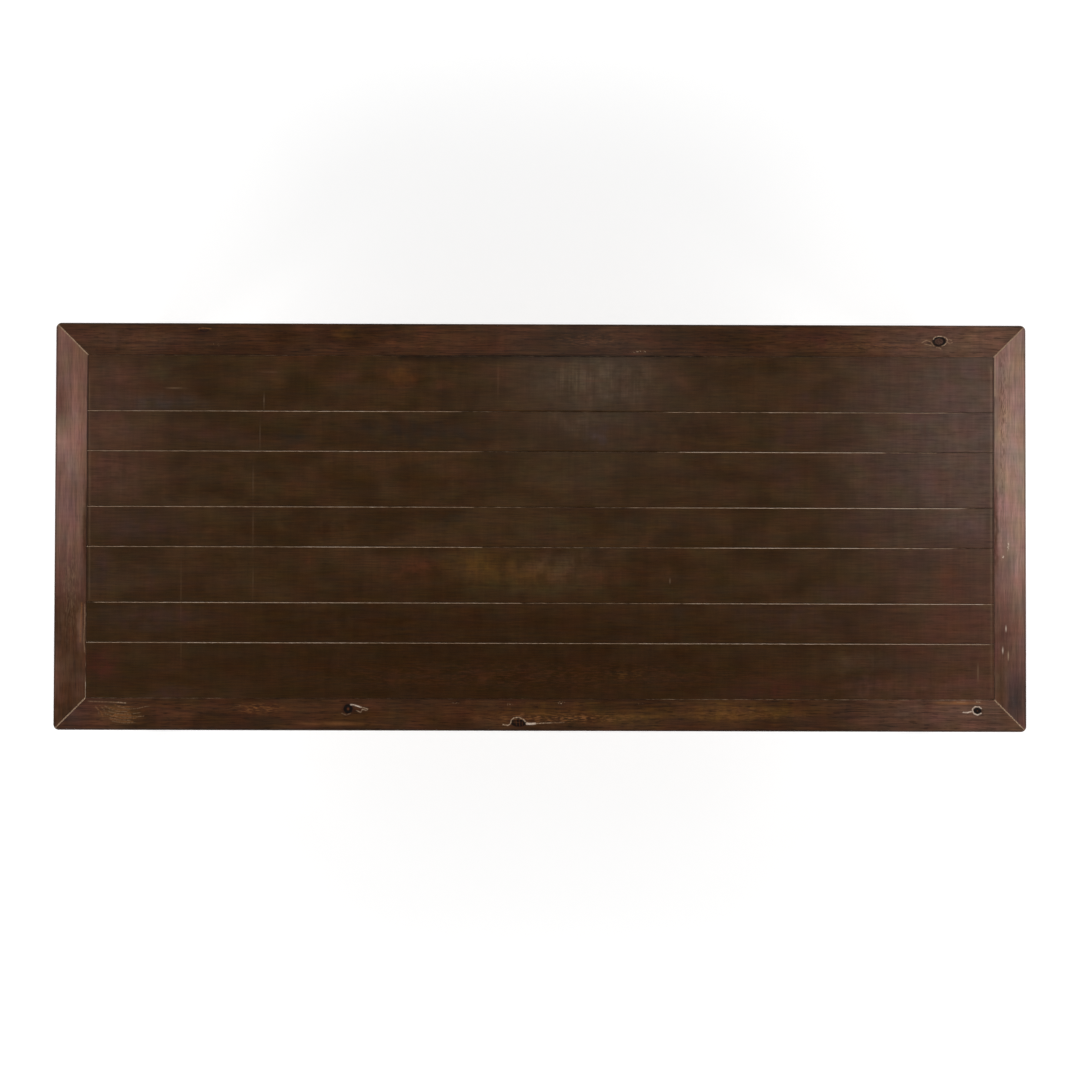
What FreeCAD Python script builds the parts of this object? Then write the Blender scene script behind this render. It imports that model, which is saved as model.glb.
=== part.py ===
import FreeCAD, Part

import math
import os

# A free-standing farmhouse dining table, in millimetres, with +Z up.
# The origin is on the floor under the middle of the top. +X runs along the table and +Y points to its back.
# The top is a mitred frame round seven boards that lie along the table. Each board has a tongue on one edge
# and a groove on the other, and its ends have tongues that sit in a groove in the frame.
# Cross battens and cleats are screwed up into the boards, and the cleats are screwed to the aprons.
# Four turned legs are drawn into the corners of the apron frame by hanger bolts through corner blocks.
# Each leg stands on a round glide, held by a screw that goes up into the end of the leg.

# Sizes that the whole table follows
TOP_LENGTH = 2424.0
TABLE_HEIGHT = 762.0

# Top boards and their frame
FRAME_WIDTH = 80.0
FRAME_THICK = 38.0
WIDE_BOARD = 139.0
NARROW_BOARD = 100.0
BOARD_THICK = 25.0
BOARD_JOINT = 0.4
BOARD_ARRIS = 2.4
FRAME_ARRIS = 1.4
MITRE_ARRIS = 1.2
CORNER_RADIUS = 14.0
TOP_EDGE_RADIUS = 4.0
UNDER_EDGE_RADIUS = 3.0
TONGUE_THICK = 8.0
TONGUE_LENGTH = 9.0
TONGUE_PLAY = 0.2
TONGUE_END_PLAY = 2.0
MITRE_TENON_THICK = 10.0
MITRE_TENON_WIDTH = 44.0
MITRE_TENON_LENGTH = 40.0
MITRE_TENON_PLAY = 0.1

# Battens and cleats under the boards
BATTEN_COUNT = 5
BATTEN_WIDTH = 60.0
BATTEN_THICK = 32.0
BATTEN_PLAY = 0.5
CLEAT_WIDTH = 25.0
CLEAT_END_PLAY = 0.5
SECONDARY_ARRIS = 2.0

# Aprons and the rails between them
APRON_HEIGHT = 105.0
APRON_THICK = 23.0
APRON_SETBACK = 12.0
APRON_BEAD_RADIUS = 4.0
APRON_QUIRK = 2.5
APRON_ARRIS = 1.0
RAIL_HEIGHT = 70.0
RAIL_THICK = 32.0
RAIL_HOUSING = 6.0
RAIL_PLAY = 0.2

# Legs
LEG_WIDTH = 100.0
LEG_BLOCK_BELOW_APRON = 45.0
LEG_EDGE_RADIUS = 3.0
LEG_INNER_FLAT = 18.0
POMMEL_HEIGHT = 26.0
POMMEL_STEP = 2.0

# Corner blocks and the hanger bolts through them
DRAW_GAP = 6.0
CORNER_BLOCK_THICK = 35.0
CORNER_BLOCK_UNDER_MARGIN = 8.0
CORNER_BLOCK_TOP_MARGIN = 5.0
BOLT_RADIUS = 4.0
BOLT_PITCH = 36.0
BOLT_IN_LEG = 45.0
BOLT_TIP = 6.0
BOLT_PLAY = 0.1
BOLT_PAST_NUT = 5.0
BOLT_END_CHAMFER = 0.8
BLOCK_HOLE_PLAY = 0.5
WASHER_RADIUS = 11.0
WASHER_THICK = 2.0
NUT_FLATS = 13.0
NUT_THICK = 6.5
NUT_PLAY = 0.1

# Wood screws
SCREW_HEAD_RADIUS = 4.4
SCREW_HEAD_RIM = 0.5
SCREW_SHANK_RADIUS = 2.2
SCREW_TIP = 5.0
SCREW_PLAY = 0.1
SCREW_HOLE_SPARE = 2.0
RECESS_WIDTH = 1.3
RECESS_SPAN = 5.0
RECESS_DEPTH = 2.0
SCREW_INTO_BOARD = 15.0
SCREW_INTO_APRON = 14.0
SCREW_INTO_BATTEN = 18.0
RAIL_SCREW_SEAT = 28.0
RAIL_SCREW_COUNT = 4
BLOCK_SCREW_SEAT = 16.0
BLOCK_SCREW_PITCH = 44.0
COUNTERBORE_PLAY = 0.8
CLEAT_SCREW_SPREAD = 60.0

# Glides under the legs
GLIDE_RADIUS = 19.0
GLIDE_HEIGHT = 7.0
GLIDE_EDGE_RADIUS = 2.0
GLIDE_SCREW_SEAT = 3.0
SCREW_INTO_LEG = 22.0

# How far a cutting tool runs past the face that it cuts
OVERRUN = 5.0
# How close two levels are to count as the same face
SAME_LEVEL = 1e-3

# Places worked out from the sizes
# Boards from the back edge to the front edge, wide and narrow by turns.
BOARD_WIDTHS = [WIDE_BOARD, NARROW_BOARD, WIDE_BOARD, NARROW_BOARD, WIDE_BOARD, NARROW_BOARD, WIDE_BOARD]
FIELD_HALF_X = TOP_LENGTH / 2 - FRAME_WIDTH
FIELD_HALF_Y = sum(BOARD_WIDTHS) / 2
TOP_HALF_X = TOP_LENGTH / 2
TOP_HALF_Y = FIELD_HALF_Y + FRAME_WIDTH
FRAME_UNDERSIDE = TABLE_HEIGHT - FRAME_THICK
BOARD_UNDERSIDE = TABLE_HEIGHT - BOARD_THICK
TONGUE_MIDDLE = (TABLE_HEIGHT + BOARD_UNDERSIDE) / 2
GROOVE_DEPTH = TONGUE_LENGTH + TONGUE_END_PLAY
BATTEN_UNDERSIDE = BOARD_UNDERSIDE - BATTEN_THICK

APRON_UNDERSIDE = FRAME_UNDERSIDE - APRON_HEIGHT
# The aprons' inner faces line up with the frame's inner edges, so the cleats lie flat on both.
OVERHANG = FRAME_WIDTH - APRON_THICK - APRON_SETBACK
LEG_FACE_X = TOP_HALF_X - OVERHANG
LEG_FACE_Y = TOP_HALF_Y - OVERHANG
LEG_INNER_X = LEG_FACE_X - LEG_WIDTH
LEG_INNER_Y = LEG_FACE_Y - LEG_WIDTH
LEG_AXIS_X = LEG_FACE_X - LEG_WIDTH / 2
LEG_AXIS_Y = LEG_FACE_Y - LEG_WIDTH / 2
LEG_BLOCK_BOTTOM = APRON_UNDERSIDE - LEG_BLOCK_BELOW_APRON

TURNED_LENGTH = LEG_BLOCK_BOTTOM - GLIDE_HEIGHT

# From a leg's outer faces, the lines across its corner where the flat, the corner block and the nut lie.
# Each is the sum of the two distances from the leg's outer faces.
APRON_INNER = APRON_SETBACK + APRON_THICK
FLAT_LINE = 2 * LEG_WIDTH - LEG_INNER_FLAT
CORNER_BLOCK_NEAR = FLAT_LINE + DRAW_GAP * math.sqrt(2)
CORNER_BLOCK_FAR = CORNER_BLOCK_NEAR + CORNER_BLOCK_THICK * math.sqrt(2)
CORNER_BLOCK_LOW = APRON_UNDERSIDE + CORNER_BLOCK_UNDER_MARGIN
CORNER_BLOCK_HIGH = BATTEN_UNDERSIDE - CORNER_BLOCK_TOP_MARGIN
CORNER_BLOCK_MIDDLE = (CORNER_BLOCK_LOW + CORNER_BLOCK_HIGH) / 2
BOLT_LEVELS = [CORNER_BLOCK_MIDDLE + side * BOLT_PITCH / 2 for side in (-1, 1)]
BLOCK_SCREW_LEVELS = [CORNER_BLOCK_MIDDLE + side * BLOCK_SCREW_PITCH / 2 for side in (-1, 1)]
BLOCK_SCREW_ALONG = (CORNER_BLOCK_NEAR + CORNER_BLOCK_FAR) / 2 - APRON_INNER
COUNTERBORE_RADIUS = SCREW_HEAD_RADIUS + COUNTERBORE_PLAY

BATTEN_SPACING = 2 * FIELD_HALF_X / (BATTEN_COUNT + 1)
BATTEN_PLACES = [(n - (BATTEN_COUNT - 1) / 2) * BATTEN_SPACING for n in range(BATTEN_COUNT)]
RAIL_PLACES = {"left": BATTEN_PLACES[1], "right": BATTEN_PLACES[-2]}
RAIL_UNDERSIDE = BATTEN_UNDERSIDE - RAIL_HEIGHT
BATTEN_HALF = FIELD_HALF_Y - CLEAT_WIDTH - BATTEN_PLAY
# The middles of the bays between the battens, and of the two between the end battens and the legs.
OUTER_BAY = (BATTEN_PLACES[-1] + BATTEN_WIDTH / 2 + LEG_INNER_X) / 2
INNER_BAYS = [(a + b) / 2 for a, b in zip(BATTEN_PLACES, BATTEN_PLACES[1:])]
BAY_MIDDLES = [-OUTER_BAY, *INNER_BAYS, OUTER_BAY]

# The corners of the table, as the side of the table in X and in Y.
CORNERS = {
    "front_left": (-1, -1),
    "front_right": (1, -1),
    "back_left": (-1, 1),
    "back_right": (1, 1),
}

# A leg's turned outline from the foot up. Radii are shares of half the leg's width and heights are shares of
# the turned length. A bulge or hollow is an arc through its middle point.
FOOT_SHARES = [(0.54, 0.0), (0.80, 0.098), (0.50, 0.206)]
ANKLE_RING_SHARES = [(0.53, 0.214), (0.70, 0.232), (0.53, 0.250)]
VASE_SHARES = [(0.51, 0.258), (0.62, 0.350), (0.82, 0.520), (0.945, 0.680), (0.90, 0.775), (0.60, 0.852)]
NECK_RING_SHARES = [(0.66, 0.858), (0.75, 0.873), (0.66, 0.888)]
HOLLOW_SHARES = [(0.64, 0.894), (0.67, 0.918), (0.80, 0.934)]
TOP_BEAD_SHARES = [(0.80, 0.942), (0.95, 0.964), (0.80, 0.986)]
TURNING_SHARES = [
    FOOT_SHARES,
    ANKLE_RING_SHARES,
    VASE_SHARES,
    NECK_RING_SHARES,
    HOLLOW_SHARES,
    TOP_BEAD_SHARES,
]
LEG_NECK_SHARES = (0.78, 0.986)

# Where the side screws of the end cleats lie, in the gaps between the boards that the cleats are screwed to.
BOARD_BACKS = [FIELD_HALF_Y - sum(BOARD_WIDTHS[:n]) for n in range(len(BOARD_WIDTHS))]
BOARD_MIDDLES = [back - width / 2 for back, width in zip(BOARD_BACKS, BOARD_WIDTHS)]
END_CLEAT_BOARDS = BOARD_MIDDLES[1:-1]
END_CLEAT_GAPS = [(a + b) / 2 for a, b in zip(END_CLEAT_BOARDS, END_CLEAT_BOARDS[1:])]


def vec(x, y, z):
    return FreeCAD.Vector(x, y, z)


X_AXIS = vec(1, 0, 0)
Y_AXIS = vec(0, 1, 0)
Z_AXIS = vec(0, 0, 1)
ORIGIN = vec(0, 0, 0)


# Shapes in general
def box(x_span, y_span, z_span):
    """A box between three pairs of limits."""
    size = [high - low for low, high in (x_span, y_span, z_span)]
    return Part.makeBox(*size, vec(x_span[0], y_span[0], z_span[0]))


def face_of(edges):
    return Part.Face(Part.Wire(edges))


def polygon_face(points):
    return Part.Face(Part.makePolygon([*points, points[0]]))


def plan_prism(points, low, high):
    """An outline of (x, y) points, as a solid between two levels."""
    return polygon_face([vec(x, y, low) for x, y in points]).extrude(Z_AXIS * (high - low))


def along_x(points, start, end):
    """An outline of (y, z) points, as a solid from start to end along X."""
    return polygon_face([vec(start, y, z) for y, z in points]).extrude(X_AXIS * (end - start))


def cylinder(radius, start, end):
    """A round bar between two points."""
    run = end - start
    return Part.makeCylinder(radius, run.Length, start, run)


def tube(outer, inner, length):
    """A round tube that stands on the origin."""
    bore = cylinder(inner, -Z_AXIS * OVERRUN, Z_AXIS * (length + OVERRUN))
    return cylinder(outer, ORIGIN, Z_AXIS * length).cut(bore)


def spun(points):
    """An outline of (radius, height) points, turned about the Z axis."""
    outline = polygon_face([vec(radius, 0, height) for radius, height in points])
    return outline.revolve(ORIGIN, Z_AXIS, 360)


def stand_on(shape, point, direction):
    """A shape made on the Z axis, moved to point with its Z axis along direction."""
    placed = shape.copy()
    placed.Placement = FreeCAD.Placement(point, FreeCAD.Rotation(Z_AXIS, direction))
    return placed


def hexagon(flats, low, high):
    """A six-sided bar on the Z axis, with flats as its width across two flat sides."""
    radius = flats / math.sqrt(3)
    corners = [(radius * math.cos(n * math.pi / 3), radius * math.sin(n * math.pi / 3)) for n in range(6)]
    return plan_prism(corners, low, high)


def at_corner(shape, side_x, side_y):
    """A piece of the back right corner, mirrored to the corner on the given sides."""
    placed = shape.copy()
    if side_x < 0:
        placed = placed.mirror(ORIGIN, X_AXIS)
    if side_y < 0:
        placed = placed.mirror(ORIGIN, Y_AXIS)
    return placed


def lies_at(edge, height):
    return all(abs(vertex.Z - height) < SAME_LEVEL for vertex in edge.Vertexes)


def is_upright(edge):
    first, last = edge.Vertexes[0].Point, edge.Vertexes[-1].Point
    return math.hypot(first.x - last.x, first.y - last.y) < SAME_LEVEL


def runs_along(edge, axis):
    first, last = edge.Vertexes[0].Point, edge.Vertexes[-1].Point
    return (last - first).cross(axis).Length < SAME_LEVEL


# Screws and bolts
def wood_screw(length):
    """A countersunk screw on the Z axis, with its head's flat face at zero and its tip upwards."""
    neck = SCREW_HEAD_RIM + SCREW_HEAD_RADIUS - SCREW_SHANK_RADIUS
    body = spun(
        [
            (0, 0),
            (SCREW_HEAD_RADIUS, 0),
            (SCREW_HEAD_RADIUS, SCREW_HEAD_RIM),
            (SCREW_SHANK_RADIUS, neck),
            (SCREW_SHANK_RADIUS, length - SCREW_TIP),
            (0, length),
        ]
    )
    half_span, half_width = RECESS_SPAN / 2, RECESS_WIDTH / 2
    depth = (-OVERRUN, RECESS_DEPTH)
    slot = box((-half_span, half_span), (-half_width, half_width), depth)
    cross_slot = box((-half_width, half_width), (-half_span, half_span), depth)
    return body.cut([slot, cross_slot])


def screw_hole(length):
    """The hole that a wood screw of this length sits in, on the Z axis, open below the head."""
    head, shank = SCREW_HEAD_RADIUS + SCREW_PLAY, SCREW_SHANK_RADIUS + SCREW_PLAY
    rim = SCREW_HEAD_RIM + SCREW_PLAY
    return spun(
        [
            (0, -OVERRUN),
            (head, -OVERRUN),
            (head, rim),
            (shank, rim + head - shank),
            (shank, length + SCREW_HOLE_SPARE),
            (0, length + SCREW_HOLE_SPARE),
        ]
    )


def screws_at(places, direction, length):
    screw = wood_screw(length)
    return [stand_on(screw, place, direction) for place in places]


def holes_at(places, direction, length):
    hole = screw_hole(length)
    return [stand_on(hole, place, direction) for place in places]


# Where the screws go
BATTEN_SCREW_LENGTH = BATTEN_THICK + SCREW_INTO_BOARD
CLEAT_SIDE_SCREW_LENGTH = CLEAT_WIDTH + SCREW_INTO_APRON
BLOCK_SCREW_LENGTH = BLOCK_SCREW_SEAT + SCREW_INTO_APRON
RAIL_SCREW_LENGTH = RAIL_SCREW_SEAT + SCREW_INTO_BATTEN
GLIDE_SCREW_LENGTH = GLIDE_HEIGHT - GLIDE_SCREW_SEAT + SCREW_INTO_LEG
CLEAT_SIDE_LEVEL = (FRAME_UNDERSIDE + BATTEN_UNDERSIDE) / 2

BATTEN_SCREWS = [vec(x, y, BATTEN_UNDERSIDE) for x in BATTEN_PLACES for y in BOARD_MIDDLES]


def long_cleat_screws():
    """Places of the screws that go up through the front and back cleats."""
    middle = FIELD_HALF_Y - CLEAT_WIDTH / 2
    return [
        vec(x + CLEAT_SCREW_SPREAD / 2, side * middle, BATTEN_UNDERSIDE)
        for side in (-1, 1)
        for x in BAY_MIDDLES
    ]


def end_cleat_screws():
    """Places of the screws that go up through the left and right cleats."""
    middle = FIELD_HALF_X - CLEAT_WIDTH / 2
    return [vec(side * middle, y, BATTEN_UNDERSIDE) for side in (-1, 1) for y in END_CLEAT_BOARDS]


def cleat_side_screws():
    """Places and directions of the screws that go through the cleats into the aprons."""
    inner_x, inner_y = FIELD_HALF_X - CLEAT_WIDTH, FIELD_HALF_Y - CLEAT_WIDTH
    found = []
    for side in (-1, 1):
        for x in BAY_MIDDLES:
            found.append((vec(x - CLEAT_SCREW_SPREAD / 2, side * inner_y, CLEAT_SIDE_LEVEL), Y_AXIS * side))
        for y in END_CLEAT_GAPS:
            found.append((vec(side * inner_x, y, CLEAT_SIDE_LEVEL), X_AXIS * side))
    return found


def rail_screw_places():
    """Places of the screws that go up through the rails into the battens, deep in counterbores."""
    step = 2 * BATTEN_HALF / (RAIL_SCREW_COUNT + 1)
    across = [(n - (RAIL_SCREW_COUNT - 1) / 2) * step for n in range(RAIL_SCREW_COUNT)]
    gaps = [(a + b) / 2 for a, b in zip(BOARD_MIDDLES, BOARD_MIDDLES[1:])]
    near = [min(gaps, key=lambda gap: abs(gap - y)) for y in across]
    level = BATTEN_UNDERSIDE - RAIL_SCREW_SEAT
    return [vec(x, y, level) for x in RAIL_PLACES.values() for y in near]


# The top
def frame_ring():
    """The whole mitred frame in one piece, before it is parted at the mitres."""
    ring = box((-TOP_HALF_X, TOP_HALF_X), (-TOP_HALF_Y, TOP_HALF_Y), (FRAME_UNDERSIDE, TABLE_HEIGHT))
    ring = ring.makeFillet(CORNER_RADIUS, [edge for edge in ring.Edges if is_upright(edge)])
    ring = ring.makeFillet(TOP_EDGE_RADIUS, [edge for edge in ring.Edges if lies_at(edge, TABLE_HEIGHT)])
    ring = ring.makeFillet(UNDER_EDGE_RADIUS, [edge for edge in ring.Edges if lies_at(edge, FRAME_UNDERSIDE)])
    opening = box(
        (-FIELD_HALF_X, FIELD_HALF_X),
        (-FIELD_HALF_Y, FIELD_HALF_Y),
        (FRAME_UNDERSIDE - OVERRUN, TABLE_HEIGHT + OVERRUN),
    )
    half_groove = TONGUE_THICK / 2 + TONGUE_PLAY
    groove = box(
        (-FIELD_HALF_X - GROOVE_DEPTH, FIELD_HALF_X + GROOVE_DEPTH),
        (-FIELD_HALF_Y - GROOVE_DEPTH, FIELD_HALF_Y + GROOVE_DEPTH),
        (TONGUE_MIDDLE - half_groove, TONGUE_MIDDLE + half_groove),
    )
    ring = ring.cut(opening)
    inner_edges = [edge for edge in ring.Edges if lies_at(edge, TABLE_HEIGHT) and is_inner(edge)]
    return ring.makeChamfer(FRAME_ARRIS, inner_edges).cut([groove, *mitre_vees(), *mitre_mortises()])


def is_inner(edge):
    """Whether an edge of the frame lies on its opening."""
    return all(
        abs(vertex.X) < FIELD_HALF_X + SAME_LEVEL and abs(vertex.Y) < FIELD_HALF_Y + SAME_LEVEL
        for vertex in edge.Vertexes
    )


def mitre_middle():
    """The middle of the back right mitre, halfway down the frame."""
    middle_x = (FIELD_HALF_X + TOP_HALF_X) / 2
    middle_y = (FIELD_HALF_Y + TOP_HALF_Y) / 2
    return vec(middle_x, middle_y, (FRAME_UNDERSIDE + TABLE_HEIGHT) / 2)


def mitre_vees():
    """Tools that cut the small V along the top of each mitre."""
    half_run = FRAME_WIDTH / math.sqrt(2) + OVERRUN
    vee = along_x([(-MITRE_ARRIS, 0), (MITRE_ARRIS, 0), (0, -MITRE_ARRIS)], -half_run, half_run)
    vee.rotate(ORIGIN, Z_AXIS, 45)
    middle = mitre_middle()
    vee.translate(vec(middle.x, middle.y, TABLE_HEIGHT))
    return [at_corner(vee, *sides) for sides in CORNERS.values()]


def mitre_tenon(play):
    """The loose tenon across the back right mitre, larger by play all round."""
    half_length = MITRE_TENON_LENGTH / 2 + play
    half_width = MITRE_TENON_WIDTH / 2 + play
    half_thick = MITRE_TENON_THICK / 2 + play
    tenon = box((-half_width, half_width), (-half_length, half_length), (-half_thick, half_thick))
    tenon.rotate(ORIGIN, Z_AXIS, 45)
    tenon.translate(mitre_middle())
    return tenon


def mitre_mortises():
    return [at_corner(mitre_tenon(MITRE_TENON_PLAY), *sides) for sides in CORNERS.values()]


def frame_boards():
    """The four frame boards, parted at the mitres."""
    ring = frame_ring()
    reach = FRAME_WIDTH + OVERRUN
    span = (FRAME_UNDERSIDE - OVERRUN, TABLE_HEIGHT + OVERRUN)
    in_x, in_y = FIELD_HALF_X - OVERRUN, FIELD_HALF_Y - OVERRUN
    out_x, out_y = FIELD_HALF_X + reach, FIELD_HALF_Y + reach
    back = plan_prism([(-in_x, in_y), (in_x, in_y), (out_x, out_y), (-out_x, out_y)], *span)
    right = plan_prism([(in_x, -in_y), (out_x, -out_y), (out_x, out_y), (in_x, in_y)], *span)
    return {
        "back_frame_board": ring.common(back),
        "front_frame_board": ring.common(back.mirror(ORIGIN, Y_AXIS)),
        "right_frame_board": ring.common(right),
        "left_frame_board": ring.common(right.mirror(ORIGIN, X_AXIS)),
    }


def board_outline(back, front, back_arris, front_arris, front_has_tongue):
    """A board's section as (y, z) points. Its back edge always has a tongue."""
    tongue_low, tongue_high = TONGUE_MIDDLE - TONGUE_THICK / 2, TONGUE_MIDDLE + TONGUE_THICK / 2
    groove_low, groove_high = tongue_low - TONGUE_PLAY, tongue_high + TONGUE_PLAY
    points = [
        (front, BOARD_UNDERSIDE),
        (back, BOARD_UNDERSIDE),
        (back, tongue_low),
        (back + TONGUE_LENGTH, tongue_low),
        (back + TONGUE_LENGTH, tongue_high),
        (back, tongue_high),
        (back, TABLE_HEIGHT - back_arris),
        (back - back_arris, TABLE_HEIGHT),
        (front + front_arris, TABLE_HEIGHT),
        (front, TABLE_HEIGHT - front_arris),
    ]
    if front_has_tongue:
        tip = front - TONGUE_LENGTH
        return points + [(front, tongue_high), (tip, tongue_high), (tip, tongue_low), (front, tongue_low)]
    root = front + GROOVE_DEPTH
    return points + [(front, groove_high), (root, groove_high), (root, groove_low), (front, groove_low)]


def field_board(number):
    """One board of the top, counted from the back."""
    is_first, is_last = number == 0, number == len(BOARD_WIDTHS) - 1
    back = BOARD_BACKS[number] - BOARD_JOINT / 2
    front = BOARD_BACKS[number] - BOARD_WIDTHS[number] + BOARD_JOINT / 2
    outline = board_outline(
        back,
        front,
        FRAME_ARRIS if is_first else BOARD_ARRIS,
        FRAME_ARRIS if is_last else BOARD_ARRIS,
        is_last,
    )
    shoulder = FIELD_HALF_X - BOARD_JOINT / 2
    tip = shoulder + TONGUE_LENGTH
    board = along_x(outline, -tip, tip)
    width_span = (front - TONGUE_LENGTH - OVERRUN, back + TONGUE_LENGTH + OVERRUN)
    above = (TONGUE_MIDDLE + TONGUE_THICK / 2, TABLE_HEIGHT + OVERRUN)
    below = (BOARD_UNDERSIDE - OVERRUN, TONGUE_MIDDLE - TONGUE_THICK / 2)
    cutters = []
    for side in (-1, 1):
        rabbet = sorted((side * shoulder, side * (tip + OVERRUN)))
        cutters += [box(rabbet, width_span, above), box(rabbet, width_span, below)]
        cutters.append(end_bevel(side, shoulder, width_span))
    places = [vec(x, BOARD_MIDDLES[number], BATTEN_UNDERSIDE) for x in BATTEN_PLACES]
    places += [place for place in [*long_cleat_screws(), *end_cleat_screws()] if front < place.y < back]
    return board.cut([*cutters, *holes_at(places, Z_AXIS, BATTEN_SCREW_LENGTH)])


def end_bevel(side, shoulder, width_span):
    """The tool that eases a board's top edge at one end."""
    low, high = TABLE_HEIGHT - FRAME_ARRIS, TABLE_HEIGHT + OVERRUN
    past = FRAME_ARRIS + OVERRUN
    points = [
        vec(side * (shoulder - past), width_span[0], high),
        vec(side * shoulder, width_span[0], high),
        vec(side * shoulder, width_span[0], low),
    ]
    return polygon_face(points).extrude(Y_AXIS * (width_span[1] - width_span[0]))


# Battens, cleats and rails
def eased(shape, axis, low):
    """A bar with its long edges at one level taken off."""
    edges = [edge for edge in shape.Edges if lies_at(edge, low) and runs_along(edge, axis)]
    return shape.makeChamfer(SECONDARY_ARRIS, edges)


def batten(place):
    half = BATTEN_WIDTH / 2
    bar = box((place - half, place + half), (-BATTEN_HALF, BATTEN_HALF), (BATTEN_UNDERSIDE, BOARD_UNDERSIDE))
    bar = eased(bar, Y_AXIS, BATTEN_UNDERSIDE)
    holes = holes_at([p for p in BATTEN_SCREWS if abs(p.x - place) < half], Z_AXIS, BATTEN_SCREW_LENGTH)
    rail_places = [p for p in rail_screw_places() if abs(p.x - place) < half]
    return bar.cut([*holes, *holes_at(rail_places, Z_AXIS, RAIL_SCREW_LENGTH)])


def cleats():
    """The four strips that join the top to the aprons."""
    levels = (BATTEN_UNDERSIDE, BOARD_UNDERSIDE)
    half_x, half_y = LEG_INNER_X - CLEAT_END_PLAY, LEG_INNER_Y - CLEAT_END_PLAY
    back = box((-half_x, half_x), (FIELD_HALF_Y - CLEAT_WIDTH, FIELD_HALF_Y), levels)
    right = box((FIELD_HALF_X - CLEAT_WIDTH, FIELD_HALF_X), (-half_y, half_y), levels)
    holes = holes_at([*long_cleat_screws(), *end_cleat_screws()], Z_AXIS, BATTEN_SCREW_LENGTH)
    hole = screw_hole(CLEAT_SIDE_SCREW_LENGTH)
    holes += [stand_on(hole, place, direction) for place, direction in cleat_side_screws()]
    bars = {
        "back_cleat": back,
        "front_cleat": back.mirror(ORIGIN, Y_AXIS),
        "right_cleat": right,
        "left_cleat": right.mirror(ORIGIN, X_AXIS),
    }
    return {name: bar.cut(holes) for name, bar in bars.items()}


def rail_half_length(play):
    return FIELD_HALF_Y + RAIL_HOUSING - play


def cross_rail(place):
    """A rail between the long aprons, housed in both, under a batten."""
    half, reach = RAIL_THICK / 2, rail_half_length(RAIL_PLAY)
    rail = box((place - half, place + half), (-reach, reach), (RAIL_UNDERSIDE, BATTEN_UNDERSIDE))
    rail = eased(rail, Y_AXIS, RAIL_UNDERSIDE)
    places = [p for p in rail_screw_places() if abs(p.x - place) < half]
    bores = [cylinder(COUNTERBORE_RADIUS, vec(p.x, p.y, RAIL_UNDERSIDE - OVERRUN), p) for p in places]
    return rail.cut([*bores, *holes_at(places, Z_AXIS, RAIL_SCREW_LENGTH)])


# Aprons
def apron_outline():
    """An apron's section, with its face and its lower edge at zero and a bead scratched along that edge."""
    bead = APRON_BEAD_RADIUS
    quirk_top = 2 * bead + APRON_QUIRK
    points = {
        "inner_low": vec(APRON_THICK - APRON_ARRIS, 0, 0),
        "inner_eased": vec(APRON_THICK, 0, APRON_ARRIS),
        "inner_top": vec(APRON_THICK, 0, APRON_HEIGHT),
        "face_top": vec(0, 0, APRON_HEIGHT),
        "quirk_top": vec(0, 0, quirk_top),
        "quirk": vec(bead, 0, 2 * bead),
        "bead_face": vec(0, 0, bead),
        "bead_low": vec(bead, 0, 0),
    }
    names = ["bead_low", "inner_low", "inner_eased", "inner_top", "face_top", "quirk_top", "quirk"]
    edges = [Part.makeLine(points[a], points[b]) for a, b in zip(names, names[1:])]
    edges.append(Part.Arc(points["quirk"], points["bead_face"], points["bead_low"]).toShape())
    return face_of(edges)


def apron(length):
    """An apron along X with its face towards +Y, its face and lower edge at zero."""
    section = apron_outline()
    section.rotate(ORIGIN, Z_AXIS, -90)
    section.translate(vec(-length / 2, 0, 0))
    return section.extrude(X_AXIS * length)


def aprons():
    back = apron(2 * LEG_INNER_X)
    back.translate(vec(0, LEG_FACE_Y - APRON_SETBACK, APRON_UNDERSIDE))
    right = apron(2 * LEG_INNER_Y)
    right.rotate(ORIGIN, Z_AXIS, -90)
    right.translate(vec(LEG_FACE_X - APRON_SETBACK, 0, APRON_UNDERSIDE))
    hole = screw_hole(CLEAT_SIDE_SCREW_LENGTH)
    cutters = [stand_on(hole, place, direction) for place, direction in cleat_side_screws()]
    cutters += block_screw_holes()
    for place in RAIL_PLACES.values():
        half, reach = RAIL_THICK / 2 + RAIL_PLAY, rail_half_length(0)
        cutters.append(
            box((place - half, place + half), (-reach, reach), (RAIL_UNDERSIDE - RAIL_PLAY, BATTEN_UNDERSIDE))
        )
    bars = {
        "back_apron": back,
        "front_apron": back.mirror(ORIGIN, Y_AXIS),
        "right_apron": right,
        "left_apron": right.mirror(ORIGIN, X_AXIS),
    }
    return {name: bar.cut(cutters) for name, bar in bars.items()}


# Legs and corner blocks, made for the back right corner
def corner_point(in_x, in_y, height):
    """The point at these distances in from the leg's outer faces."""
    return vec(LEG_FACE_X - in_x, LEG_FACE_Y - in_y, height)


def on_diagonal(line, height):
    """The point of the corner's diagonal that lies on one of the lines across the corner."""
    return corner_point(line / 2, line / 2, height)


OUTWARD = vec(1, 1, 0).normalize()


def turning_point(share):
    """A point of the leg's outline from its shares of radius and height."""
    radius, height = share
    return vec(radius * LEG_WIDTH / 2, 0, GLIDE_HEIGHT + height * TURNED_LENGTH)


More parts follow.
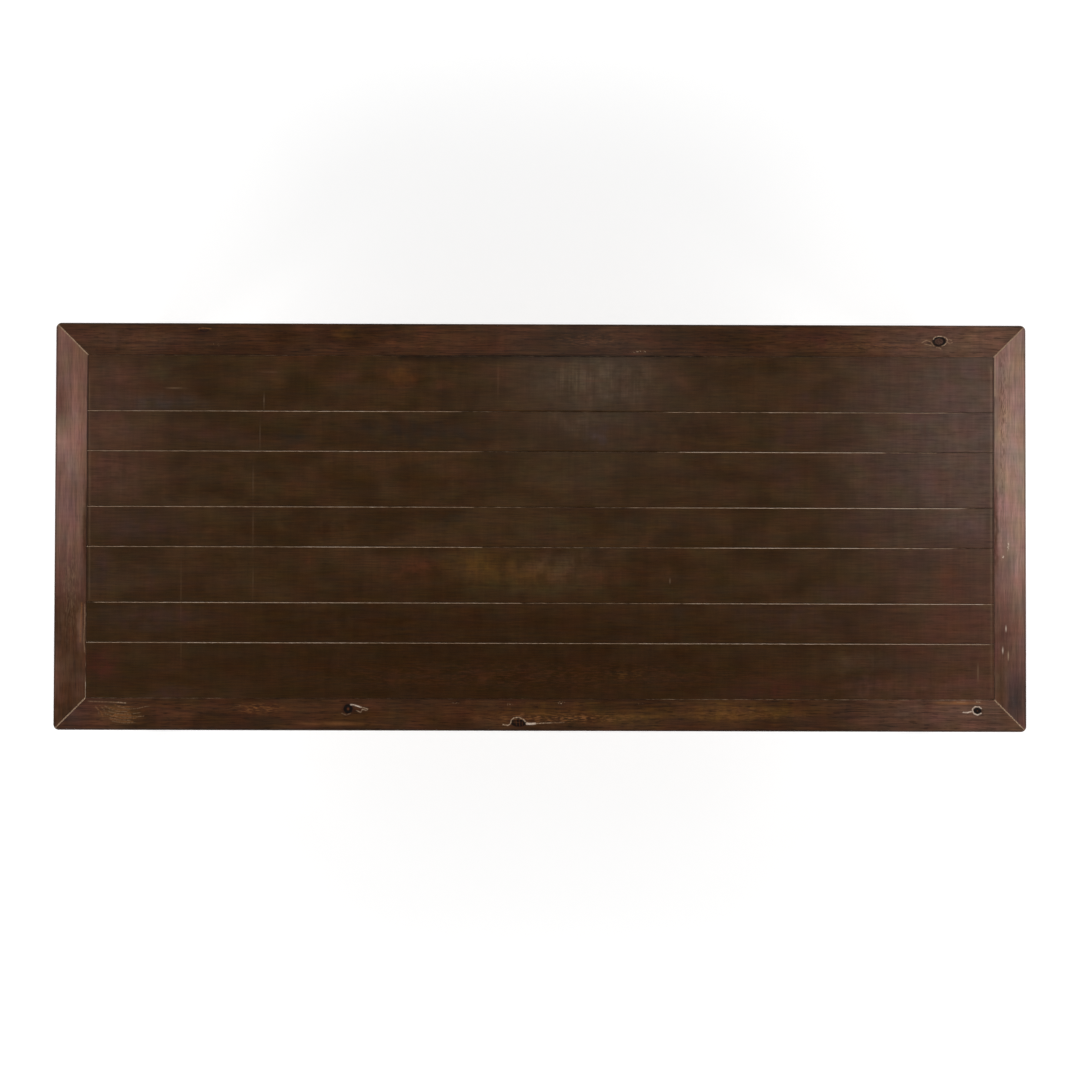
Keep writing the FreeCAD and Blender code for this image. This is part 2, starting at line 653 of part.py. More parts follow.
def turned_part():
    """The leg below its square block, with the neck that enters the block, on the Z axis."""
    edges = []
    last = vec(0, 0, GLIDE_HEIGHT)
    for shares in TURNING_SHARES:
        points = [turning_point(share) for share in shares]
        edges += steps(last, points[0])
        edges.append(curve_through(points))
        last = points[-1]
    neck = turning_point(LEG_NECK_SHARES)
    inside = vec(neck.x, 0, LEG_BLOCK_BOTTOM + POMMEL_HEIGHT)
    edges += steps(last, neck)
    edges.append(Part.makeLine(neck, inside))
    edges.append(Part.makeLine(inside, vec(0, 0, inside.z)))
    edges.append(Part.makeLine(vec(0, 0, inside.z), vec(0, 0, GLIDE_HEIGHT)))
    return face_of(edges).revolve(ORIGIN, Z_AXIS, 360)


def curve_through(points):
    """An arc through three points, or a smooth curve through more."""
    if len(points) == 3:
        return Part.Arc(*points).toShape()
    curve = Part.BSplineCurve()
    curve.interpolate(points)
    return curve.toShape()


def steps(start, end):
    """A square step from one curve's end to the next one's start, as one or two straight edges."""
    corner = vec(end.x, 0, start.z)
    points = [start, corner, end]
    return [Part.makeLine(a, b) for a, b in zip(points, points[1:]) if (b - a).Length > SAME_LEVEL]


def pommel_tool():
    """The turned envelope that rounds off the lower corners of the square block, on the Z axis."""
    half = LEG_WIDTH / 2
    wide = half * math.sqrt(2) + OVERRUN
    low = vec(half - POMMEL_STEP, 0, LEG_BLOCK_BOTTOM)
    shoulder = vec(half * math.sqrt(2), 0, LEG_BLOCK_BOTTOM + POMMEL_HEIGHT)
    bulge = (low + shoulder) * 0.5 + vec(POMMEL_STEP, 0, -2 * POMMEL_STEP)
    top = FRAME_UNDERSIDE + OVERRUN
    corners = [shoulder, vec(wide, 0, shoulder.z), vec(wide, 0, top), vec(0, 0, top), vec(0, 0, low.z), low]
    edges = [Part.makeLine(a, b) for a, b in zip(corners, corners[1:])]
    edges.append(Part.Arc(low, bulge, shoulder).toShape())
    return face_of(edges).revolve(ORIGIN, Z_AXIS, 360)


def leg():
    """The back right leg, with its bolt holes and the hole of its glide's screw."""
    half = LEG_WIDTH / 2
    block = box((-half, half), (-half, half), (LEG_BLOCK_BOTTOM, FRAME_UNDERSIDE))
    block = block.makeFillet(LEG_EDGE_RADIUS, [edge for edge in block.Edges if is_upright(edge)])
    flat = LEG_INNER_FLAT
    far = half + OVERRUN
    notch = [(-half + flat + OVERRUN, -far), (-far, -far), (-far, -half + flat + OVERRUN)]
    block = block.cut(plan_prism(notch, APRON_UNDERSIDE, FRAME_UNDERSIDE + OVERRUN))
    whole = block.common(pommel_tool()).fuse(turned_part()).removeSplitter()
    whole.translate(vec(LEG_AXIS_X, LEG_AXIS_Y, 0))
    bolt_hole = BOLT_RADIUS + BOLT_PLAY
    start = FLAT_LINE + 2 * OVERRUN
    end = FLAT_LINE - (BOLT_IN_LEG + SCREW_HOLE_SPARE) * math.sqrt(2)
    cutters = [cylinder(bolt_hole, on_diagonal(start, z), on_diagonal(end, z)) for z in BOLT_LEVELS]
    return whole.cut([*cutters, *holes_at([glide_screw_seat()], Z_AXIS, GLIDE_SCREW_LENGTH)])


def glide_screw_seat():
    """Where the head of the screw under the back right leg sits."""
    return vec(LEG_AXIS_X, LEG_AXIS_Y, GLIDE_SCREW_SEAT)


def block_screws():
    """Places and directions of the screws from the back right corner block into both aprons."""
    seat = APRON_INNER + BLOCK_SCREW_SEAT
    found = []
    for level in BLOCK_SCREW_LEVELS:
        found.append((corner_point(BLOCK_SCREW_ALONG, seat, level), Y_AXIS))
        found.append((corner_point(seat, BLOCK_SCREW_ALONG, level), X_AXIS))
    return found


def block_screw_holes():
    """The holes of those screws, at every corner."""
    hole = screw_hole(BLOCK_SCREW_LENGTH)
    made = [stand_on(hole, place, direction) for place, direction in block_screws()]
    return [at_corner(each, *sides) for each in made for sides in CORNERS.values()]


def corner_block():
    near, far, face = CORNER_BLOCK_NEAR, CORNER_BLOCK_FAR, APRON_INNER
    outline = [(near - face, face), (far - face, face), (face, far - face), (face, near - face)]
    points = [(LEG_FACE_X - in_x, LEG_FACE_Y - in_y) for in_x, in_y in outline]
    body = plan_prism(points, CORNER_BLOCK_LOW, CORNER_BLOCK_HIGH)
    clear = BOLT_RADIUS + BLOCK_HOLE_PLAY
    cutters = [
        cylinder(clear, on_diagonal(far + OVERRUN, z), on_diagonal(near - OVERRUN, z)) for z in BOLT_LEVELS
    ]
    for place, direction in block_screws():
        cutters.append(cylinder(COUNTERBORE_RADIUS, place - direction * CORNER_BLOCK_THICK, place))
        cutters.append(stand_on(screw_hole(BLOCK_SCREW_LENGTH), place, direction))
    return body.cut(cutters)


def hanger_bolt(level):
    tip = on_diagonal(FLAT_LINE, level) + OUTWARD * BOLT_IN_LEG
    nut_end = on_diagonal(CORNER_BLOCK_FAR, level) - OUTWARD * (WASHER_THICK + NUT_THICK + BOLT_PAST_NUT)
    length = (tip - nut_end).Length
    body = spun(
        [
            (0, 0),
            (BOLT_RADIUS - BOLT_END_CHAMFER, 0),
            (BOLT_RADIUS, BOLT_END_CHAMFER),
            (BOLT_RADIUS, length - BOLT_TIP),
            (0, length),
        ]
    )
    return stand_on(body, nut_end, OUTWARD)


def washer(level):
    ring = tube(WASHER_RADIUS, BOLT_RADIUS + BLOCK_HOLE_PLAY, WASHER_THICK)
    return stand_on(ring, on_diagonal(CORNER_BLOCK_FAR, level), -OUTWARD)


def nut(level):
    """A hexagon nut. A double cone takes off its corners above and below at 30 degrees."""
    bore, flat = BOLT_RADIUS + NUT_PLAY, NUT_FLATS / 2
    widest = (flat + NUT_THICK / 2 / math.tan(math.radians(30)), NUT_THICK / 2)
    double_cone = spun([(bore, 0), (flat, 0), widest, (flat, NUT_THICK), (bore, NUT_THICK)])
    body = hexagon(NUT_FLATS, 0, NUT_THICK).common(double_cone)
    seat = on_diagonal(CORNER_BLOCK_FAR, level) - OUTWARD * WASHER_THICK
    return stand_on(body, seat, -OUTWARD)


# Glides, made for the back right corner
def foot_glide():
    """The disc under the leg, with the well and the countersink of its screw."""
    body = cylinder(GLIDE_RADIUS, ORIGIN, Z_AXIS * GLIDE_HEIGHT)
    body = body.makeFillet(GLIDE_EDGE_RADIUS, [edge for edge in body.Edges if lies_at(edge, 0)])
    well = cylinder(COUNTERBORE_RADIUS, -Z_AXIS * OVERRUN, Z_AXIS * GLIDE_SCREW_SEAT)
    body = body.cut([well, *holes_at([Z_AXIS * GLIDE_SCREW_SEAT], Z_AXIS, GLIDE_SCREW_LENGTH)])
    return stand_on(body, vec(LEG_AXIS_X, LEG_AXIS_Y, 0), Z_AXIS)


# The whole table
def group(shapes):
    return Part.makeCompound(shapes)


def everywhere(shapes):
    """Pieces of the back right corner, repeated at every corner as one group."""
    return group([at_corner(shape, *sides) for sides in CORNERS.values() for shape in shapes])


def pieces():
    made = {}
    made.update(frame_boards())
    made.update({f"field_board_{number + 1}": field_board(number) for number in range(len(BOARD_WIDTHS))})
    made["mitre_tenons"] = everywhere([mitre_tenon(0)])
    made.update({f"batten_{number + 1}": batten(place) for number, place in enumerate(BATTEN_PLACES)})
    made["batten_screws"] = group(screws_at(BATTEN_SCREWS, Z_AXIS, BATTEN_SCREW_LENGTH))
    made.update(cleats())
    up_places = [*long_cleat_screws(), *end_cleat_screws()]
    made["cleat_board_screws"] = group(screws_at(up_places, Z_AXIS, BATTEN_SCREW_LENGTH))
    side_screw = wood_screw(CLEAT_SIDE_SCREW_LENGTH)
    made["cleat_apron_screws"] = group([stand_on(side_screw, *each) for each in cleat_side_screws()])
    made.update(aprons())
    made.update({f"{side}_cross_rail": cross_rail(place) for side, place in RAIL_PLACES.items()})
    made["rail_screws"] = group(screws_at(rail_screw_places(), Z_AXIS, RAIL_SCREW_LENGTH))
    whole_leg, block, glide = leg(), corner_block(), foot_glide()
    for corner, sides in CORNERS.items():
        made[f"{corner}_leg"] = at_corner(whole_leg, *sides)
        made[f"{corner}_corner_block"] = at_corner(block, *sides)
        made[f"{corner}_foot_glide"] = at_corner(glide, *sides)
    block_screw = wood_screw(BLOCK_SCREW_LENGTH)
    made["corner_block_screws"] = everywhere([stand_on(block_screw, *each) for each in block_screws()])
    made["hanger_bolts"] = everywhere([hanger_bolt(level) for level in BOLT_LEVELS])
    made["hanger_washers"] = everywhere([washer(level) for level in BOLT_LEVELS])
    made["hanger_nuts"] = everywhere([nut(level) for level in BOLT_LEVELS])
    made["glide_screws"] = everywhere(screws_at([glide_screw_seat()], Z_AXIS, GLIDE_SCREW_LENGTH))
    return made


def main():
    os.makedirs("parts", exist_ok=True)
    for name, shape in pieces().items():
        sound = shape.isValid() and all(solid.Volume > 0 for solid in shape.Solids)
        print(f"{name}: {len(shape.Solids)} solids, {'sound' if sound else 'FAULTY'}")
        shape.exportStep(f"parts/{name}.step")


main()
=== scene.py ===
"""Dresses a farmhouse table: a worn, dark-stained top in a mitred frame, on beaded aprons and turned legs."""

import logging
import math
from dataclasses import dataclass, field, fields, replace
from enum import Enum, auto
from functools import reduce
from typing import Optional, Sequence, Union

import bmesh
import bpy
import numpy as np
from mathutils import Euler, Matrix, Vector, noise


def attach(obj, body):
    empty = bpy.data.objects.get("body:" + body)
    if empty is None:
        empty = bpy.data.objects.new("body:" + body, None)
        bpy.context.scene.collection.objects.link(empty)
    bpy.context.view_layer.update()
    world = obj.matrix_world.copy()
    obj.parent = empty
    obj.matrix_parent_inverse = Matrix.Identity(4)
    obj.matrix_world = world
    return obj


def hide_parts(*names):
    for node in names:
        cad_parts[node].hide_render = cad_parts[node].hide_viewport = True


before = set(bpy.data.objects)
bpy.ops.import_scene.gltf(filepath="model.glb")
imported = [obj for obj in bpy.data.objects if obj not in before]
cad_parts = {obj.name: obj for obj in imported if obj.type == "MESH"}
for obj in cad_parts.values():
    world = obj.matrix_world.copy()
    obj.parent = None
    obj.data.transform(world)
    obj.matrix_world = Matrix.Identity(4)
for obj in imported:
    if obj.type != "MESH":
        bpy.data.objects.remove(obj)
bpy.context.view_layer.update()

log = logging.getLogger("farmhouse_table")

MM = 0.001
BODY = "root"

# Sizes that more than one part of the table shares
TOP = 0.762
NEAR_TOP = TOP - 3 * MM
FIELD_HALF_LENGTH = 1.132
FIELD_HALF_WIDTH = 0.428
GROOVE_DEPTH = 11 * MM
FRAME_SIDE_ARRIS = 1.4 * MM
KNOT_ROOM = 0.045

Owner = Union[bpy.types.Material, bpy.types.World]
Socket = bpy.types.NodeSocket
Feed = Union[Socket, float, Sequence[float]]
Colour = tuple[float, float, float, float]
Level = Union[float, np.ndarray]
Point = tuple[float, float]
Sizes = tuple[float, float, float]


class Tone(Enum):
    """The colours of the wood and its finish, as the red, green and blue of a screen from 0 to 255."""

    ESPRESSO = (61, 40, 20)
    DEEP = (50, 31, 11)
    MOSS = (45, 25, 5)
    OLIVE = (62, 48, 26)
    TEAL = (42, 32, 21)
    VIOLET = (59, 38, 31)
    SLATE = (64, 50, 48)
    RUST = (80, 44, 25)
    WINE = (66, 32, 22)
    HONEY = (88, 58, 20)
    AMBER = (136, 88, 50)
    RED_BROWN = (66, 40, 22)
    DARK_RED_BROWN = (54, 31, 14)
    ROSEWOOD = (82, 52, 39)
    # Painted glare on the top, and pale tan patches of wood
    GLOW = (84, 64, 45)
    # Painted sheen, mauve
    HAZE = (92, 70, 61)
    # Pink wood lit by painted sheen, with a paler kind and a dimmer kind below
    PINKISH = (112, 80, 66)
    DUSTY_PINK = (151, 119, 106)
    DUSTY_SHADE = (112, 82, 72)
    BARE = (172, 146, 120)
    BARE_SHADED = (140, 112, 87)
    CHALK = (200, 180, 162)
    KNOT_HEART = (74, 52, 42)
    KNOT_CORE = (18, 10, 7)
    KNOT_RIM = (50, 26, 17)
    # Grime, with painted shade in seams and crevices
    GRIME = (20, 11, 6)
    PINE = (201, 166, 122)
    PINE_LATE = (158, 112, 70)
    PINE_DUSTY = (176, 148, 114)

    @property
    def linear(self) -> Colour:
        """The colour in the linear values that a shader takes."""
        parts = [c / 255 for c in self.value]
        return (*[c / 12.92 if c <= 0.04045 else ((c + 0.055) / 1.055) ** 2.4 for c in parts], 1.0)


class Clouds(Enum):
    """Random clouds: how many there are in a metre along each axis, how many finer sizes, and how stirred."""

    SWIRLS_FINE = ((260.0, 260.0, 260.0), 2.0, 0.0)
    SWIRLS = ((60.0, 60.0, 60.0), 2.0, 0.0)
    SWIRLS_WIDE = ((16.0, 16.0, 16.0), 2.0, 0.0)
    SWIRLS_OF_RINGS = ((1.1, 5.0, 5.0), 1.5, 0.0)
    STAIN = ((40.0, 34.0, 34.0), 4.0, 0.0)
    FLECKS = ((300.0, 420.0, 420.0), 2.0, 0.0)
    FIBRES = ((60.0, 420.0, 420.0), 2.0, 0.0)
    RIPPLES = ((200.0, 7.0, 7.0), 1.0, 0.0)
    MOTTLE = ((9.0, 15.0, 15.0), 4.0, 0.2)
    TINT = ((16.0, 24.0, 24.0), 4.0, 0.0)
    BROAD_STREAKS = ((7.0, 110.0, 110.0), 3.0, 0.2)
    FINE_STREAKS = ((22.0, 430.0, 430.0), 3.0, 0.0)
    SAW_STREAKS = ((210.0, 9.0, 9.0), 2.0, 0.0)
    BANDS = ((34.0, 5.0, 5.0), 3.0, 0.0)
    DASHES = ((36.0, 330.0, 330.0), 2.0, 0.0)
    BARE = ((25.0, 60.0, 60.0), 2.0, 0.0)
    RUBBED = ((90.0, 500.0, 500.0), 3.0, 0.0)
    SAW_RELIEF = ((190.0, 6.0, 6.0), 1.0, 0.0)
    FIBRE_RELIEF = ((30.0, 900.0, 900.0), 2.0, 0.0)
    SHEEN = ((8.0, 30.0, 30.0), 3.0, 0.0)
    PINE_SWELL = ((2.0, 12.0, 12.0), 2.0, 0.0)
    PINE_DUST = ((5.0, 20.0, 20.0), 3.0, 0.0)
    PINE_FIBRES = ((20.0, 900.0, 900.0), 2.0, 0.0)
    ZINC_MOTTLE = ((180.0, 180.0, 180.0), 3.0, 0.0)
    ZINC_SCRATCHES = ((2500.0, 300.0, 900.0), 2.0, 0.0)
    NYLON_SCUFFS = ((160.0, 160.0, 90.0), 3.0, 0.0)
    NYLON_PITS = ((2400.0, 2400.0, 2400.0), 1.0, 0.0)


class Run(Enum):
    """The way that a piece's grain runs, as the order of its axes: along, across and through the grain."""

    ALONG_X = (0, 1, 2)
    ALONG_Y = (1, 0, 2)
    UPRIGHT = (2, 0, 1)


class Side(Enum):
    """A side of the table, as the quarter turns that bring the back side there."""

    BACK = 0
    LEFT = 1
    FRONT = 2
    RIGHT = 3

    def place(self, along: np.ndarray, out: np.ndarray, height: np.ndarray) -> np.ndarray:
        """Points, one row each, from distances along the side and out from the middle, and heights."""
        x, y = ((along, out), (-out, along), (-along, -out), (out, -along))[self.value]
        return np.stack(np.broadcast_arrays(x, y, height), axis=-1)

    def along_out(self, x: float, y: float) -> Point:
        """The distances along and out from the middle of a point on the table."""
        return ((x, y), (y, -x), (-x, -y), (-y, x))[self.value]

    @property
    def lengthwise(self) -> bool:
        """Whether it is a long side."""
        return self in (Side.BACK, Side.FRONT)

    @property
    def run(self) -> Run:
        """The way that the grain of a board along this side runs."""
        return Run.ALONG_X if self.lengthwise else Run.ALONG_Y

    @property
    def label(self) -> str:
        """The side in the names of pieces."""
        return self.name.lower()


@dataclass(frozen=True)
class Viewpoint:
    """The place from which the photo looks down, fitted to the four corners of the top."""

    place: Sizes = (-0.0414, -0.2327, 7.7542)
    tilt_degrees: Sizes = (1.642, -0.327, 0.148)
    lens: float = 93.47
    sensor: float = 36.0
    picture: float = 1080.0

    @property
    def tilt(self) -> Euler:
        """The camera's rotation."""
        return Euler([math.radians(a) for a in self.tilt_degrees])

    @property
    def focus(self) -> float:
        """The focal length in pixels."""
        return self.lens / self.sensor * self.picture

    @property
    def pixels_a_metre(self) -> float:
        """How many pixels of the photo a metre of the top is."""
        return self.focus / (self.place[2] - TOP)

    def on_top(self, px: float, py: float) -> Point:
        """The point of the table's top that a pixel of the photo shows.

        Args:
            px: pixels from the photo's left edge.
            py: pixels from its upper edge.

        Returns:
            The point's x and y in metres.
        """
        half = self.picture / 2
        across, up = (px - half) / self.focus, (half - py) / self.focus
        ray = np.array(self.tilt.to_matrix()) @ np.array([across, up, -1.0])
        reach = (TOP - self.place[2]) / ray[2]
        return self.place[0] + ray[0] * reach, self.place[1] + ray[1] * reach

    def pixels(self, points: np.ndarray) -> np.ndarray:
        """The pixels of the photo, from its left and upper edge, at which points of the table lie."""
        local = (points - np.array(self.place)) @ np.array(self.tilt.to_matrix())
        return self.picture / 2 + self.focus * local[:, :2] * (-1, 1) / local[:, 2:]


VIEW = Viewpoint()


def wave(x: float, y: float, z: float) -> float:
    """A smooth random number, from about -1 to 1, that depends on a place."""
    return noise.noise(Vector((x, y, z)))


def ripple(places: np.ndarray, pitch: float, seed: float) -> np.ndarray:
    """A smooth random line at some places along it, with its swells about a pitch apart."""
    return np.array([wave(float(place) / pitch, seed, 0.37) for place in places])


def linked(name: str, data: bpy.types.ID) -> bpy.types.Object:
    """Puts a mesh, lamp or camera into the scene.

    Args:
        name: the name of its object.
        data: the mesh, lamp or camera.

    Returns:
        The new object.
    """
    made = bpy.data.objects.new(name, data)
    bpy.context.scene.collection.objects.link(made)
    return made


@dataclass(frozen=True)
class Stretch:
    """Part of an edge between two pixels of the photo, and how much of its stain is worn off, from 0 to 1."""

    start: float
    end: float
    wear: float
    fade: float = 5.0

    def at(self, pixels: np.ndarray) -> np.ndarray:
        """How worn the edge is at these pixels by this stretch alone."""
        inside = np.minimum(pixels - self.start, self.end - pixels)
        return self.wear * np.clip(inside / self.fade + 0.5, 0, 1)


def stretches(*each: tuple[float, ...]) -> tuple[Stretch, ...]:
    """Several stretches of one edge, each given by the values of its fields."""
    return tuple(Stretch(*values) for values in each)


def wear_along(worn: Sequence[Stretch], pixels: np.ndarray) -> np.ndarray:
    """How worn an edge with some worn stretches is at pixels along it, from 0 to 1."""
    return np.max([np.zeros(len(pixels)), *(stretch.at(pixels) for stretch in worn)], axis=0)


@dataclass(frozen=True)
class Strokes:
    """Drawn-out marks such as cracks or chipped edges. Their points and width are in pixels of the photo."""

    tone: Tone
    width: float
    strength: float
    broken: float
    lines: tuple[tuple[Point, ...], ...]

    def share(self, pixels: np.ndarray) -> np.ndarray:
        """How much of the strokes' tone shows.

        Args:
            pixels: pixels of the photo, one row each.

        Returns:
            The share at each of them, from 0 to 1.
        """
        nearest = np.full(len(pixels), 99.0)
        for first, second in [pair for line in self.lines for pair in zip(line, line[1:])]:
            start, step = np.array(first), np.subtract(second, first)
            along = np.clip((pixels - start) @ step / (step @ step), 0, 1)
            nearest = np.minimum(nearest, np.hypot(*(pixels - start - along[:, None] * step).T))
        half = self.width / 2
        share = self.strength * np.clip((1.3 * half - nearest) / (0.8 * half), 0, 1)
        for n in np.flatnonzero(share):
            share[n] *= 1 - self.broken * min(max(0.4 - 2.5 * wave(*(pixels[n] * 0.7), 2.0), 0.0), 1.0)
        return share

    def spans(self, axis: int, longest: float = 60.0) -> list[Point]:
        """From which to which pixel each short line reaches along one axis of the photo."""
        reaches = [[point[axis] for point in line] for line in self.lines]
        return [(min(reach), max(reach)) for reach in reaches if max(reach) - min(reach) < longest]


def drawn(tone: Tone, width: float, strength: float, broken: float, *lines: tuple[Point, ...]) -> Strokes:
    """Strokes of one tone and width, each line given by its points."""
    return Strokes(tone, width, strength, broken, lines)


@dataclass(frozen=True)
class Timber:
    """How a piece was sawn: its grain's run, a point on the log's heart, and how far along the log it lay."""

    run: Run
    heart: Sequence[float]
    shift: float

    def places(self, points: np.ndarray) -> np.ndarray:
        """Where in the log points of the piece are, with the grain's own axis first."""
        return (points - np.array(self.heart))[:, list(self.run.value)] + (self.shift, 0, 0)


@dataclass
class MeshDraft:
    """The points and faces of one piece, how worn it is and how much grime and painted shade it has at each
    point, and what is drawn on it.
    """

    strokes: tuple[Strokes, ...] = ()
    points: list[np.ndarray] = field(default_factory=list)
    worn: list[float] = field(default_factory=list)
    grime: list[float] = field(default_factory=list)
    faces: list[Sequence[int]] = field(default_factory=list)
    rings: list[list[int]] = field(default_factory=list)

    def ring(self, points: np.ndarray, worn: Level, grime: Level) -> list[int]:
        """Adds one closed outline of the piece.

        Args:
            points: its points, one row each.
            worn: how worn each is, or all are.
            grime: how much grime and painted shade each has, or all have.

        Returns:
            The numbers of the new points.
        """
        start = len(self.points)
        self.points += list(points)
        self.worn += list(np.broadcast_to(worn, len(points)))
        self.grime += list(np.broadcast_to(grime, len(points)))
        self.rings.append(list(range(start, len(self.points))))
        return self.rings[-1]

    def band(self, first: Sequence[int], second: Sequence[int]) -> None:
        """Joins two outlines of as many points with four-sided faces."""
        self.faces += zip(first, [*first[1:], first[0]], [*second[1:], second[0]], second)

    def loft(self, closed: bool = True) -> None:
        """Joins each outline to the next one.

        Args:
            closed: whether a flat face closes the first and the last.
        """
        for first, second in zip(self.rings, self.rings[1:]):
            self.band(first, second)
        if closed:
            self.faces += [self.rings[0], self.rings[-1]]

    def ink(self, points: np.ndarray) -> np.ndarray:
        """Draws the strokes on the top face, each over the one before.

        Args:
            points: the points of the piece, one row each.

        Returns:
            The strokes' colour times its share, and the share, one row for each point.
        """
        ink = np.zeros((len(points), 4))
        on_top = points[:, 2] > NEAR_TOP
        pixels = VIEW.pixels(points[on_top])
        for stroke in self.strokes:
            share = stroke.share(pixels)[:, None]
            ink[on_top] = ink[on_top] * (1 - share) + np.array(stroke.tone.linear) * share
        return ink

    def made(
        self, name: str, solid: str, slot: str, timber: Timber, dress: bpy.types.Material
    ) -> bpy.types.Object:
        """Makes the piece in place of its plain solid, with its grain laid out for the wood's shader.

        Args:
            name: the piece's name.
            solid: the name of the plain solid.
            slot: its material slot; not used.
            timber: how it was sawn, so that no two pieces look alike.
            dress: its material.

        Returns:
            The new object.
        """
        mesh = bpy.data.meshes.new(name)
        mesh.from_pydata([tuple(p) for p in self.points], [], self.faces)
        points = np.array(self.points)
        ink = self.ink(points)
        kept = {"worn": self.worn, "grime": self.grime, "ink": ink[:, :3], "inked": ink[:, 3]}
        for title, values in (*kept.items(), ("grain", timber.places(points))):
            flat = np.array(values, np.float32)
            kind, word = ("FLOAT_VECTOR", "vector") if flat.ndim > 1 else ("FLOAT", "value")
            mesh.attributes.new(title, kind, "POINT").data.foreach_set(word, flat.ravel())
        shell = bmesh.new()
        shell.from_mesh(mesh)
        bmesh.ops.recalc_face_normals(shell, faces=shell.faces)
        shell.to_mesh(mesh)
        shell.free()
        mesh.shade_smooth()
        mesh.set_sharp_from_angle(angle=math.radians(32))
        mesh.materials.append(dress)
        made = linked(name, mesh)
        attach(made, BODY)
        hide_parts(solid)
        return made


class Bench:
    """Lays out the shader nodes of a material or of the world, and joins them."""

    def __init__(self, owner: Owner) -> None:
        """Starts with no nodes.

        Args:
            owner: the material or the world.
        """
        self.owner = owner
        owner.use_nodes = True
        self.tree = owner.node_tree
        self.tree.nodes.clear()

    def node(self, kind: str, feeds: Optional[dict] = None, **settings: object) -> bpy.types.Node:
        """Adds a node.

        Args:
            kind: its kind, without the word that all kinds start with.
            feeds: links or plain values for its sockets, by their names or numbers.
            settings: its other settings.

        Returns:
            The node.
        """
        made = self.tree.nodes.new("ShaderNode" + kind)
        for name, value in settings.items():
            setattr(made, name, value)
        for key, value in (feeds or {}).items():
            if isinstance(value, Socket):
                self.tree.links.new(value, made.inputs[key])
            else:
                made.inputs[key].default_value = value
        return made

    def math(self, operation: str, first: Feed, second: Feed = 0.0, clamp: bool = False) -> Socket:
        """One sum on numbers, kept between 0 and 1 if asked."""
        return self.node("Math", {0: first, 1: second}, operation=operation, use_clamp=clamp).outputs[0]

    def times(self, *parts: Feed) -> Socket:
        """Several numbers multiplied together."""
        return reduce(lambda product, part: self.math("MULTIPLY", product, part), parts)

    def vector(self, operation: str, first: Feed, second: Feed) -> Socket:
        """One sum on vectors."""
        return self.node("VectorMath", {0: first, 1: second}, operation=operation).outputs["Vector"]

    def length(self, vector: Socket) -> Socket:
        """The length of a vector."""
        return self.node("VectorMath", {0: vector}, operation="LENGTH").outputs["Value"]

    def ramp(self, value: Feed, low: float, high: float, start: float = 0.0, end: float = 1.0) -> Socket:
        """A soft step of a value, from one result below a low limit to another above a high one."""
        feeds = dict(enumerate((value, low, high, start, end)))
        return self.node("MapRange", feeds, interpolation_type="SMOOTHSTEP").outputs[0]

    def clouds(self, place: Feed, clouds: Clouds, output: str = "Fac") -> Socket:
        """Random clouds from about 0 to 1, as heights, or as colours.

        Args:
            place: where on the piece or in the log the surface is.
            clouds: which clouds they are.
            output: what is taken from them.

        Returns:
            The clouds.
        """
        count, detail, twist = clouds.value
        spread = self.vector("MULTIPLY", place, count)
        feeds = {"Vector": spread, "Scale": 1.0, "Detail": detail, "Distortion": twist}
        return self.node("TexNoise", feeds).outputs[output]

    def stir(self, place: Socket, swirls: Clouds, reach: Sizes) -> Socket:
        """Places moved about at random, as far as the reach along each axis."""
        swirl = self.vector("SUBTRACT", self.clouds(place, swirls, "Color"), (0.5, 0.5, 0.5))
        return self.vector("ADD", place, self.vector("MULTIPLY", swirl, reach))

    def blend(self, share: Feed, under: Feed, over: Feed, how: str = "MIX") -> Socket:
        """A share of one colour laid over another."""
        return self.node("Mix", {0: share, 6: under, 7: over}, data_type="RGBA", blend_type=how).outputs[2]

    def kept(self, name: str, output: str = "Fac") -> Socket:
        """A number, or a vector, kept at the points of the mesh."""
        return self.node("Attribute", attribute_name=name).outputs[output]

    def object_place(self) -> Socket:
        """Where on the table the surface is, in metres."""
        return self.node("TexCoord").outputs["Object"]

    def part(self, place: Socket, axis: int) -> Socket:
        """One coordinate of a place."""
        return self.node("SeparateXYZ", {0: place}).outputs[axis]

    def closed(self, surface: Socket) -> Owner:
        """Joins the surface to the output, and hands back the finished material or world."""
        self.node("Output" + type(self.owner).__name__, {"Surface": surface})
        return self.owner

    def surface(self, colour: Feed, roughness: Feed, height: Socket, relief: float, **plain: float) -> Owner:
        """Joins the finish to a surface shader.

        Args:
            colour: its colour.
            roughness: its roughness.
            height: the height of its fine relief.
            relief: how far the relief stands up, in metres.
            plain: values of other sockets that are the same all over, by the sockets' names.

        Returns:
            The finished material.
        """
        bump = self.node("Bump", {"Strength": 1.0, "Distance": relief, "Height": height})
        feeds = {"Base Color": colour, "Roughness": roughness, "Normal": bump.outputs[0]}
        feeds.update({name.replace("_", " "): value for name, value in plain.items()})
        return self.closed(self.node("BsdfPrincipled", feeds).outputs[0])


class Lay(Enum):
    """How a patch lies: an even wash, an uneven stain, chips, fibres, saw ripples or a straight scratch."""

    WASH = auto()
    STAIN = auto()
    CHIPS = auto()
    FIBRES = auto()
    RIPPLES = auto()
    SCRATCH = auto()


